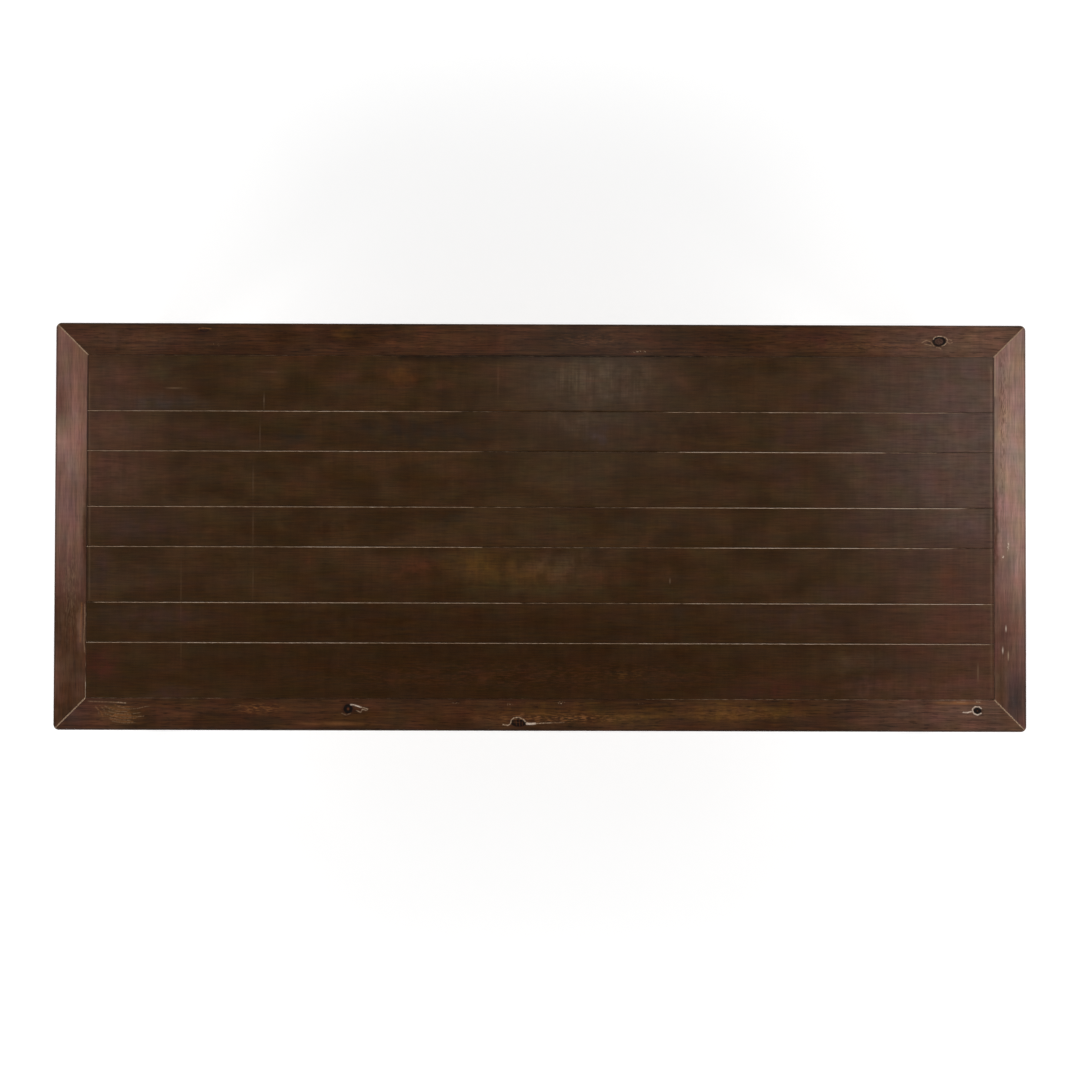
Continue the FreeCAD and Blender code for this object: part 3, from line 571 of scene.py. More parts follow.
class Ground:
    """The places and random clouds that all marks of one finish share."""

    def __init__(self, bench: Bench, place: Socket, grain: Socket) -> None:
        """Lays them out, and what a patch of each kind is drawn with: its places, its cloud and its step.

        Args:
            bench: the finish that the marks are part of.
            place: where on the table the surface is.
            grain: where in the log the surface is.
        """
        self.bench = bench
        self.fine = bench.stir(place, Clouds.SWIRLS_FINE, (2.4 * MM, 2.4 * MM, 0))
        self.flecks = bench.clouds(place, Clouds.FLECKS)
        stirred = bench.stir(place, Clouds.SWIRLS, (12 * MM, 12 * MM, 0))
        swirled = bench.stir(stirred, Clouds.SWIRLS_WIDE, (60 * MM, 60 * MM, 0))
        cloud = bench.clouds(grain, Clouds.STAIN)
        self.lays = {
            Lay.WASH: (stirred, cloud, (0.2, 0.8, 0.8, 1.2)),
            Lay.STAIN: (swirled, cloud, (0.3, 0.7, 0.35, 1.25)),
            Lay.CHIPS: (stirred, self.flecks, (0.4, 0.6, 0.0, 1.0)),
            Lay.FIBRES: (stirred, bench.clouds(grain, Clouds.FIBRES), (0.5, 0.6, 0.0, 1.0)),
            Lay.RIPPLES: (swirled, bench.clouds(grain, Clouds.RIPPLES), (0.4, 0.6, 0.0, 1.0)),
            Lay.SCRATCH: (place, cloud, (0.3, 0.6, 0.35, 1.0)),
        }


@dataclass(frozen=True)
class Mark:
    """Something that sets one place of a finish apart. Its middle and reach are in pixels of the photo."""

    px: float
    py: float
    reach_x: float
    reach_y: float

    @property
    def middle(self) -> Point:
        """Its middle on the table, in metres."""
        return VIEW.on_top(self.px, self.py)

    def away(self, bench: Bench, where: Socket, upright: float) -> Socket:
        """How far places are from its middle, in shares of its reach.

        Args:
            bench: the finish.
            where: the places.
            upright: how much a metre of height counts.

        Returns:
            The distances.
        """
        a_metre = (VIEW.pixels_a_metre / self.reach_x, VIEW.pixels_a_metre / self.reach_y, upright)
        offset = bench.vector("SUBTRACT", where, (*self.middle, TOP))
        return bench.length(bench.vector("MULTIPLY", offset, a_metre))


@dataclass(frozen=True)
class Patch(Mark):
    """A patch of another tone."""

    tone: Tone
    strength: float
    lay: Lay = Lay.STAIN

    @property
    def under(self) -> bool:
        """Whether it lies under the grain."""
        return self.lay in (Lay.WASH, Lay.STAIN)

    def laid(self, ground: Ground, colour: Feed) -> Socket:
        """The colour below with the patch laid over it.

        Args:
            ground: what the marks of the finish share.
            colour: the colour below.

        Returns:
            The new colour.
        """
        bench = ground.bench
        where, texture, step = ground.lays[self.lay]
        away = self.away(bench, where, 12.0)
        if self.lay is Lay.CHIPS:
            near = bench.ramp(away, 0.15, 1.0, self.strength, 0.0)
            share = bench.ramp(bench.math("ADD", near, texture), 0.98, 1.08, 0.0, 0.85)
        else:
            spread = {Lay.WASH: 1.2, Lay.STAIN: 1.35}.get(self.lay, 1.0)
            near = bench.ramp(away, 0.0, spread, 1.0, 0.0)
            share = bench.times(near, bench.ramp(texture, *step), self.strength)
        return bench.blend(share, colour, self.tone.linear)


def patches(*each: tuple) -> tuple[Patch, ...]:
    """Several patches, each given by the values of its fields."""
    return tuple(Patch(*values) for values in each)


@dataclass(frozen=True)
class Knot(Mark):
    """A knot: a heart in a dark ring, sunk a little."""

    inner: float = 0.7
    heart: Tone = Tone.KNOT_HEART
    shadow: float = 0.35
    depth: float = 0.5 * MM
    under: bool = False

    def sink(self, points: np.ndarray) -> None:
        """Lowers the points on the top face that lie at the knot.

        Args:
            points: points of the piece, one row each, which are changed.
        """
        away = points[:, :2] - self.middle
        near = (points[:, 2] > TOP - 0.5 * MM) & (np.hypot(*away.T) < KNOT_ROOM)
        away = np.hypot(*(away[near] * VIEW.pixels_a_metre / (self.reach_x, self.reach_y)).T)
        rough = np.array([0.7 + 0.6 * wave(x * 400, y * 400, 5.0) for x, y, _ in points[near]])
        core = np.clip(1.15 - away, 0, 1) ** 0.7
        lip = 0.35 * np.clip(1 - np.abs(away - 1.2) / 0.35, 0, 1)
        points[near, 2] -= self.depth * (core * rough + lip * (rough > 0.85))

    def laid(self, ground: Ground, colour: Feed) -> Socket:
        """The colour below with the knot laid over it.

        Args:
            ground: what the marks of the finish share.
            colour: the colour below.

        Returns:
            The new colour.
        """
        bench, rim = ground.bench, Tone.KNOT_RIM.linear
        away = self.away(bench, ground.fine, 0.0)
        colour = bench.blend(bench.ramp(away, 1.0, 2.2, self.shadow, 0.0), colour, rim)
        heart = bench.blend(bench.ramp(ground.flecks, 0.38, 0.52), rim, self.heart.linear)
        colour = bench.blend(bench.ramp(away, 0.85, 1.05, 1.0, 0.0), colour, heart)
        inside = bench.ramp(away, self.inner - 0.25, self.inner)
        outside = bench.ramp(away, 1.0, 1.3, 1.0, 0.0)
        return bench.blend(bench.times(inside, outside), colour, Tone.KNOT_CORE.linear)


@dataclass(frozen=True)
class StainedWood:
    """Dark stain on sawn softwood: rings, streaks, saw ripple, marks and worn edges under a satin lacquer."""

    name: str
    body: Tone
    shade: Tone
    rings_dark: float = 0.08
    hue: float = 0.55
    broad_streaks: float = 0.35
    fine_streaks: float = 0.9
    saw_streaks: float = 0.3
    bands: float = 0.45
    dashes: float = 0.2
    ring_pitch: float = 5.5 * MM
    relief: float = 0.05 * MM
    gloss: Point = (0.31, 0.42)
    bare_below: float = -1.0
    marks: tuple[Mark, ...] = ()

    def rings(self, bench: Bench, grain: Socket) -> Socket:
        """How much dark late wood of the yearly rings round the heart of the log there is, from 0 to 1.

        Args:
            bench: the finish that they are part of.
            grain: where in the log the surface is.

        Returns:
            The share of late wood.
        """
        bent = bench.stir(grain, Clouds.SWIRLS_OF_RINGS, (0, 0.05, 0.05))
        radius = bench.length(bench.vector("MULTIPLY", bent, (0, 1, 1)))
        age = bench.math("FRACT", bench.math("DIVIDE", radius, self.ring_pitch))
        return bench.times(bench.ramp(age, 0.35, 0.88), bench.ramp(age, 0.93, 1.0, 1.0, 0.0))

    def marked(self, ground: Ground, colour: Socket, under: bool) -> Socket:
        """The colour with the marks under the grain, or those over it, laid over it."""
        marks = [mark for mark in self.marks if mark.under is under]
        return reduce(lambda below, mark: mark.laid(ground, below), marks, colour)

    def stained(self, ground: Ground, grain: Socket, late: Socket) -> Socket:
        """The colour of the stained wood before any wear.

        Args:
            ground: what the marks of the finish share.
            grain: where in the log the surface is.
            late: how much late wood there is.

        Returns:
            The colour.
        """
        bench, hue = ground.bench, self.hue
        mottle = bench.ramp(bench.clouds(grain, Clouds.MOTTLE), 0.34, 0.66)
        colour = self.marked(ground, bench.blend(mottle, self.body.linear, self.shade.linear), True)
        tint = bench.clouds(grain, Clouds.TINT, "Color")
        shift = bench.vector("MULTIPLY", tint, (hue, hue * 0.8, hue))
        shift = bench.vector("ADD", shift, (1 - hue / 2, 1 - hue * 0.4, 1 - hue / 2))
        streaks = (
            (self.broad_streaks, Clouds.BROAD_STREAKS),
            (self.fine_streaks, Clouds.FINE_STREAKS),
            (self.saw_streaks, Clouds.SAW_STREAKS),
            (self.bands, Clouds.BANDS),
        )
        levels = [
            bench.math("ADD", bench.times(bench.clouds(grain, clouds), strength), 1 - strength / 2)
            for strength, clouds in streaks
        ]
        short = bench.clouds(bench.vector("ADD", grain, (3.1, 0, 0)), Clouds.DASHES)
        levels.append(bench.ramp(short, 0.58, 0.68, 1.0, 1 - self.dashes))
        levels.append(bench.ramp(late, 0.0, 1.0, 1 + self.rings_dark / 3, 1 - self.rings_dark))
        return bench.vector("MULTIPLY", bench.vector("MULTIPLY", colour, shift), bench.times(*levels))

    def bare(self, bench: Bench, grain: Socket, worn: Socket) -> Socket:
        """The colour of wood whose stain is worn off, chalky where it is worn most; on the planks' back edges
        the chalky end also serves as painted highlight.
        """
        bare = bench.blend(bench.clouds(grain, Clouds.BARE), Tone.BARE_SHADED.linear, Tone.BARE.linear)
        return bench.blend(bench.ramp(worn, 0.8, 1.5, 0.0, 0.9), bare, Tone.CHALK.linear)

    def material(self) -> bpy.types.Material:
        """Makes the finish.

        Returns:
            The material.
        """
        bench = Bench(bpy.data.materials.new(self.name))
        grain, place = bench.kept("grain", "Vector"), bench.object_place()
        late, ground = self.rings(bench, grain), Ground(bench, place, grain)
        colour = self.marked(ground, self.stained(ground, grain, late), False)
        colour = bench.blend(bench.kept("inked"), colour, (0.0, 0.0, 0.0, 1.0))
        colour = bench.blend(1.0, colour, bench.kept("ink", "Vector"), "ADD")
        if self.bare_below > 0:
            raw = bench.blend(bench.times(late, 0.6), Tone.PINE_DUSTY.linear, Tone.PINE_LATE.linear)
            low = bench.ramp(bench.part(place, 2), self.bare_below, self.bare_below + 0.6 * MM, 1.0, 0.0)
            colour = bench.blend(low, colour, raw)
        # Grime and painted shade in seams, grooves, coves and quirks darken the colour
        grime = bench.math("MULTIPLY", bench.kept("grime"), 0.85, clamp=True)
        colour = bench.blend(grime, colour, Tone.GRIME.linear)
        rubbed = bench.ramp(bench.clouds(grain, Clouds.RUBBED), 0.25, 0.75, 0.6, 1.4)
        worn = bench.times(bench.kept("worn"), rubbed)
        colour = bench.blend(bench.ramp(worn, 0.3, 0.8), colour, self.bare(bench, grain, worn))
        saw = bench.times(bench.clouds(grain, Clouds.SAW_RELIEF), 1.6 * self.saw_streaks)
        fibres = bench.times(bench.clouds(grain, Clouds.FIBRE_RELIEF), 0.3)
        height = bench.math("ADD", bench.math("ADD", saw, bench.times(late, -0.25)), fibres)
        dull = bench.times(bench.clouds(grain, Clouds.SHEEN), 0.8)
        roughness = bench.ramp(bench.math("ADD", dull, bench.times(late, 0.15)), 0.2, 0.75, *self.gloss)
        roughness = bench.math("MAXIMUM", roughness, bench.ramp(worn, 0.3, 0.8, 0.0, 0.62))
        return bench.surface(colour, roughness, height, self.relief, Specular_IOR_Level=0.25)


@dataclass(frozen=True)
class BarePine:
    """Planed softwood without a finish, a little dusty, for the parts that nobody sees."""

    name: str
    run: Run
    to_heart: Sizes = (0.0, 0.013, -0.655)
    ring_pitch: float = 4.5 * MM
    relief: float = 0.08 * MM

    def material(self) -> bpy.types.Material:
        """Makes the finish.

        Returns:
            The material.
        """
        bench = Bench(bpy.data.materials.new(self.name))
        place = bench.object_place()
        turned = {n: bench.part(place, axis) for n, axis in enumerate(self.run.value)}
        grain = bench.node("CombineXYZ", turned).outputs[0]
        radius = bench.length(bench.vector("MULTIPLY", bench.vector("ADD", grain, self.to_heart), (0, 1, 1)))
        radius = bench.math("ADD", radius, bench.times(bench.clouds(grain, Clouds.PINE_SWELL), 0.03))
        age = bench.math("FRACT", bench.math("DIVIDE", radius, self.ring_pitch))
        late = bench.times(bench.ramp(age, 0.3, 0.85), bench.ramp(age, 0.92, 1.0, 1.0, 0.0))
        dusty = bench.ramp(bench.clouds(grain, Clouds.PINE_DUST), 0.4, 0.7)
        colour = bench.blend(dusty, Tone.PINE.linear, Tone.PINE_DUSTY.linear)
        colour = bench.blend(bench.times(late, 0.55), colour, Tone.PINE_LATE.linear)
        fibres = bench.clouds(grain, Clouds.PINE_FIBRES)
        colour = bench.blend(1.0, colour, bench.ramp(fibres, 0.3, 0.7, 0.86, 1.1), "MULTIPLY")
        height = bench.math("ADD", bench.times(fibres, 0.6), bench.times(late, 0.4))
        roughness = bench.ramp(fibres, 0.3, 0.7, 0.62, 0.78)
        return bench.surface(colour, roughness, height, self.relief, Specular_IOR_Level=0.3)


@dataclass(frozen=True)
class ZincPlate:
    """Zinc plate on steel, with a faint mottle and fine scratches."""

    shade: Colour = (0.44, 0.45, 0.46, 1)
    light: Colour = (0.62, 0.61, 0.57, 1)
    relief: float = 0.02 * MM

    def material(self) -> bpy.types.Material:
        """Makes the finish.

        Returns:
            The material.
        """
        bench = Bench(bpy.data.materials.new("zinc_plate"))
        place = bench.object_place()
        mottle = bench.clouds(place, Clouds.ZINC_MOTTLE)
        scratches = bench.clouds(place, Clouds.ZINC_SCRATCHES)
        rough = bench.math("ADD", bench.times(mottle, 0.5), bench.times(scratches, 0.5))
        roughness, colour = bench.ramp(rough, 0.3, 0.7, 0.3, 0.5), bench.blend(mottle, self.shade, self.light)
        return bench.surface(colour, roughness, scratches, self.relief, Metallic=1.0)


@dataclass(frozen=True)
class MouldedNylon:
    """Black moulded nylon with a fine grain, scuffed grey."""

    black: Colour = (0.012, 0.012, 0.013, 1)
    scuffed: Colour = (0.05, 0.048, 0.046, 1)
    relief: float = 0.03 * MM

    def material(self) -> bpy.types.Material:
        """Makes the finish.

        Returns:
            The material.
        """
        bench = Bench(bpy.data.materials.new("black_nylon"))
        place = bench.object_place()
        scuffs = bench.ramp(bench.clouds(place, Clouds.NYLON_SCUFFS), 0.5, 0.8)
        pits = bench.clouds(place, Clouds.NYLON_PITS)
        colour = bench.blend(scuffs, self.black, self.scuffed)
        roughness = bench.ramp(scuffs, 0.0, 1.0, 0.42, 0.62)
        return bench.surface(colour, roughness, pits, self.relief, Specular_IOR_Level=0.4)


@dataclass(frozen=True)
class Corner:
    """A point of a board's section: its place, how it moves with its edge, how worn it is, and how much grime
    and painted shade it has.
    """

    out: float
    height: float
    edge_out: float = 0.0
    edge_down: float = 0.0
    edge: int = 0
    wear: float = 0.0
    grime: float = 0.0
    swell: float = 0.0


def arris(out: float, size: float, inward: float, edge: int) -> list[Corner]:
    """The rounded upper edge of a board of the top, from its side face to just inside its top face.

    Args:
        out: where the side face is.
        size: how far the edge is rounded.
        inward: the direction from the side face into the board, 1 or -1.
        edge: which edge of the board it is, 1 or 2.

    Returns:
        The points of the edge.
    """
    # Columns: across, down, wear, and grime with painted shade, darkest down at the seam
    shares = ((0.0, 1.0, 0.9, 1.0), (0.1, 0.5, 1.0, 1.0), (0.42, 0.12, 0.95, 0.5), (0.75, 0.03, 0.28, 0.5))
    made = [
        Corner(out, TOP, inward * across * size, down * size, edge, wear, grime)
        for across, down, wear, grime in (*shares, (1.0, 0.0, 0.0, 0.5))
    ]
    return [*made, Corner(out + inward * (size + 1.6 * MM), TOP, edge=edge)]


class Section:
    """The section of a board as arrays, ready to be placed at each station along it."""

    def __init__(self, corners: Sequence[Corner]) -> None:
        """Takes the corners apart into one array for each of their values.

        Args:
            corners: the points of the section in order.
        """
        self.rows = range(len(corners))
        names = [each.name for each in fields(Corner)]
        self.of = {name: np.array([getattr(corner, name) for corner in corners], float) for name in names}

    def at(self, sizes: Point, place: float, step: float, seed: float) -> tuple[np.ndarray, np.ndarray]:
        """The section where its two edges are rounded more or less than usual and its top swells a little.

        Args:
            sizes: how much of its usual size each edge has here.
            place: how far along the board it is.
            step: how fast the swells change from corner to corner.
            seed: which board it is.

        Returns:
            The distances out and the heights of the corners.
        """
        of = self.of
        size = np.where(of["edge"] == 1, sizes[0], np.where(of["edge"] == 2, sizes[1], 1.0))
        swell = 0.1 * MM * np.array([1 + wave(place * 6, row * step, seed) for row in self.rows])
        return of["out"] + of["edge_out"] * size, of["height"] - of["edge_down"] * size - of["swell"] * swell


# The worn stretches of each plank's back edge, whose pale wood also serves as painted highlight on the lit
# facet of each groove
JOINT_WEAR_AND_HIGHLIGHT = (
    (),
    stretches(
        (80, 240, 0.95), (230, 400, 1.15, 20), (390, 462, 0.9), (462, 500, 0.55, 20), (640, 650, 0.5),
        (660, 760, 0.8, 12), (760, 872, 1.05, 14), (872, 915, 0.85), (905, 948, 1), (948, 966, 0.55, 10),
    ),
    stretches(
        (80, 230, 0.9), (220, 400, 1.15, 20), (390, 460, 0.9), (455, 484, 0.72), (484, 512, 0.5, 14),
        (655, 685, 0.6), (680, 885, 1.5), (885, 942, 0.65, 14),
    ),
    stretches(
        (80, 330, 0.95), (320, 390, 1.15, 20), (390, 472, 0.9), (472, 530, 0.55, 12), (530, 572, 0.5, 10),
        (590, 642, 0.55, 12), (630, 680, 0.8), (675, 750, 1.1), (740, 965, 1.6, 20), (960, 975, 0.6),
    ),
    stretches(
        (80, 300, 0.95), (290, 400, 1.4, 30), (390, 482, 1), (482, 512, 0.45), (512, 650, 0.55, 14),
        (640, 680, 0.65), (672, 710, 0.8), (700, 880, 1.5, 20), (870, 925, 1.1), (925, 955, 0.9),
    ),
    stretches(
        (92, 160, 0.9), (150, 370, 1.22, 20), (360, 522, 1), (522, 630, 0.65, 14), (630, 682, 0.75),
        (682, 750, 1.05), (740, 830, 1.3, 20), (820, 990, 1.5, 20),
    ),
    stretches((80, 190, 1), (180, 370, 1.28, 20), (360, 640, 1, 20), (630, 994, 1.2, 30)),
)

# The marks that all planks share, and those of each plank
SHARED_MARKS = patches(
    # Painted sheen: the two washes at the right end and the rosewood wash at the left end
    (1000, 420, 190, 200, Tone.HAZE, 0.8, Lay.WASH), (1005, 640, 150, 130, Tone.ROSEWOOD, 0.8, Lay.WASH),
    (85, 420, 100, 140, Tone.ROSEWOOD, 0.5, Lay.WASH), (490, 672, 500, 112, Tone.MOSS, 1, Lay.WASH),
    (253, 482, 0.8, 26, Tone.BARE, 0.1, Lay.SCRATCH), (253, 530, 0.8, 34, Tone.BARE, 0.1, Lay.SCRATCH),
    (253, 582, 0.8, 26, Tone.BARE, 0.08, Lay.SCRATCH), (264, 402, 0.9, 14, Tone.BARE, 0.2, Lay.SCRATCH),
    (260, 436, 0.9, 24, Tone.BARE, 0.1, Lay.SCRATCH),
    (181, 590, 0.8, 52, Tone.BARE_SHADED, 0.12, Lay.SCRATCH),
    (181, 650, 0.8, 26, Tone.BARE_SHADED, 0.1, Lay.SCRATCH),
    (498, 382, 0.8, 26, Tone.BARE_SHADED, 0.1, Lay.SCRATCH), (670, 581, 1.2, 4, Tone.BARE, 0.4, Lay.SCRATCH),
)
PLANK_MARKS = (
    patches(
        # Painted glare near the back middle, with real saw ripples in it whose shading is painted darker
        (597, 381, 78, 30, Tone.GLOW, 0.7), (590, 384, 130, 34, Tone.DEEP, 0.4, Lay.RIPPLES),
        (593, 381, 20, 1.6, Tone.RUST, 0.5, Lay.SCRATCH), (120, 375, 34, 14, Tone.ROSEWOOD, 0.6),
        (163, 370, 20, 12, Tone.OLIVE, 0.6), (152, 402, 60, 9, Tone.SLATE, 0.5),
        (176, 388, 16, 1.3, Tone.BARE_SHADED, 0.3, Lay.SCRATCH),
        (268, 372, 16, 1.2, Tone.BARE_SHADED, 0.15, Lay.SCRATCH), (290, 358, 16, 8, Tone.RUST, 0.45),
        (330, 398, 50, 12, Tone.DEEP, 0.6), (350, 376, 16, 11, Tone.ROSEWOOD, 0.3),
        (393, 373, 26, 10, Tone.RUST, 0.6), (400, 374, 14, 6, Tone.HONEY, 0.4),
        (443, 384, 10, 8, Tone.RUST, 0.5), (502, 378, 18, 11, Tone.RUST, 0.35),
        (680, 380, 14, 11, Tone.RUST, 0.3), (817, 398, 24, 11, Tone.VIOLET, 0.8),
        (690, 398, 40, 12, Tone.DEEP, 0.7),
    ),
    patches(
        # The front part of the painted glare, with real saw ripples in it whose shading is painted darker
        (593, 424, 66, 14, Tone.GLOW, 0.45), (640, 430, 50, 18, Tone.MOSS, 0.5),
        (265, 430, 50, 16, Tone.DEEP, 0.5), (590, 430, 120, 20, Tone.DEEP, 0.35, Lay.RIPPLES),
        (600, 436, 12, 9, Tone.SLATE, 0.8), (113, 428, 30, 15, Tone.ROSEWOOD, 0.6),
        (207, 436, 42, 12, Tone.VIOLET, 0.5), (293, 436, 24, 12, Tone.TEAL, 0.7),
        (415, 432, 90, 18, Tone.TEAL, 0.8), (692, 430, 50, 22, Tone.MOSS, 0.8),
        (797, 431, 32, 20, Tone.VIOLET, 0.7), (890, 425, 24, 12, Tone.OLIVE, 0.4),
        (925, 431, 1.6, 14, Tone.RUST, 0.5, Lay.SCRATCH),
    ),
    patches(
        (117, 478, 36, 22, Tone.ROSEWOOD, 0.6), (227, 481, 15, 13, Tone.RUST, 0.35),
        (295, 483, 10, 9, Tone.RUST, 0.3), (350, 499, 30, 6, Tone.DEEP, 0.7),
        (665, 480, 60, 20, Tone.DEEP, 0.5), (560, 476, 90, 22, Tone.OLIVE, 0.4),
        (783, 471, 18, 24, Tone.VIOLET, 0.5), (940, 478, 14, 13, Tone.RUST, 0.4),
    ),
    patches(
        (140, 526, 62, 16, Tone.VIOLET, 0.8), (310, 524, 100, 18, Tone.MOSS, 0.6),
        # The mauve wash at the right end is painted sheen
        (550, 525, 44, 14, Tone.OLIVE, 0.4), (968, 526, 36, 16, Tone.HAZE, 0.5),
        (443, 516, 20, 9, Tone.TEAL, 0.7), (630, 525, 24, 16, Tone.TEAL, 0.4),
        (677, 525, 14, 16, Tone.TEAL, 0.6), (660, 521, 16, 2.5, Tone.HONEY, 0.4, Lay.FIBRES),
        (580, 533, 60, 2.5, Tone.HONEY, 0.3, Lay.FIBRES), (860, 528, 26, 14, Tone.VIOLET, 0.5),
        (903, 528, 16, 16, Tone.OLIVE, 0.4),
    ),
    patches(
        (410, 568, 44, 16, Tone.RUST, 0.65), (230, 566, 120, 28, Tone.DEEP, 0.7),
        (550, 586, 120, 12, Tone.OLIVE, 0.5), (480, 566, 36, 20, Tone.HONEY, 0.6),
        (532, 570, 34, 18, Tone.HONEY, 0.55), (566, 564, 54, 18, Tone.GLOW, 0.5),
        (597, 575, 40, 13, Tone.RUST, 0.35), (663, 575, 14, 11, Tone.RUST, 0.25),
        (100, 572, 16, 26, Tone.VIOLET, 0.8), (150, 580, 34, 20, Tone.VIOLET, 0.4),
        (310, 568, 14, 13, Tone.RUST, 0.35), (400, 597, 200, 6, Tone.DEEP, 0.4),
        (650, 596, 130, 7, Tone.DEEP, 0.6), (793, 568, 12, 11, Tone.RUST, 0.25),
        (840, 589, 36, 10, Tone.VIOLET, 0.6), (950, 577, 20, 22, Tone.RUST, 0.6),
    ),
    patches(
        (150, 618, 62, 12, Tone.VIOLET, 0.7), (340, 623, 110, 18, Tone.MOSS, 0.8),
        (965, 624, 40, 16, Tone.ROSEWOOD, 0.5), (680, 612, 12, 16, Tone.TEAL, 0.5),
        (800, 620, 90, 15, Tone.VIOLET, 0.5), (953, 621, 24, 15, Tone.RUST, 0.5),
    ),
    patches(
        (100, 665, 22, 18, Tone.WINE, 0.75), (170, 692, 28, 6, Tone.VIOLET, 0.6),
        (300, 662, 90, 12, Tone.MOSS, 0.7), (665, 660, 90, 12, Tone.MOSS, 0.7),
        (852, 660, 34, 12, Tone.GLOW, 0.4), (540, 676, 420, 24, Tone.RUST, 0.35, Lay.FIBRES),
        (393, 678, 10, 8, Tone.RUST, 0.35), (487, 678, 10, 8, Tone.RUST, 0.5),
        (627, 675, 26, 6, Tone.HONEY, 0.5, Lay.FIBRES), (770, 688, 54, 16, Tone.WINE, 0.55),
        (907, 665, 36, 11, Tone.VIOLET, 0.6), (880, 688, 60, 14, Tone.ROSEWOOD, 0.6),
        (960, 688, 50, 16, Tone.ROSEWOOD, 0.9), (978, 672, 1, 14, Tone.BARE_SHADED, 0.4, Lay.SCRATCH),
    ),
)

# The lines drawn at the planks' ends and along their back edge; the dark ones are seams darkened with grime
# and painted shade
PLANK_STROKES = (
    drawn(Tone.GRIME, 1.2, 0.4, 0.3, ((88.2, 357), (88, 480), (87.8, 600))),
    drawn(Tone.BARE_SHADED, 1.2, 0.16, 0.5, ((89.5, 370), (89.1, 600))),
    drawn(Tone.GRIME, 1, 0.25, 0.3, ((992.9, 356), (992.9, 470), (993.1, 590))),
    drawn(Tone.BARE, 1.4, 0.2, 0.5, ((991.2, 372), (991.2, 600))),
    drawn(Tone.BARE_SHADED, 1.2, 0.25, 0.5, ((991.4, 600), (991.4, 698))),
    drawn(Tone.GRIME, 1.8, 0.7, 0.3, ((400, 356.4), (560, 356.6), (700, 356.6))),
)


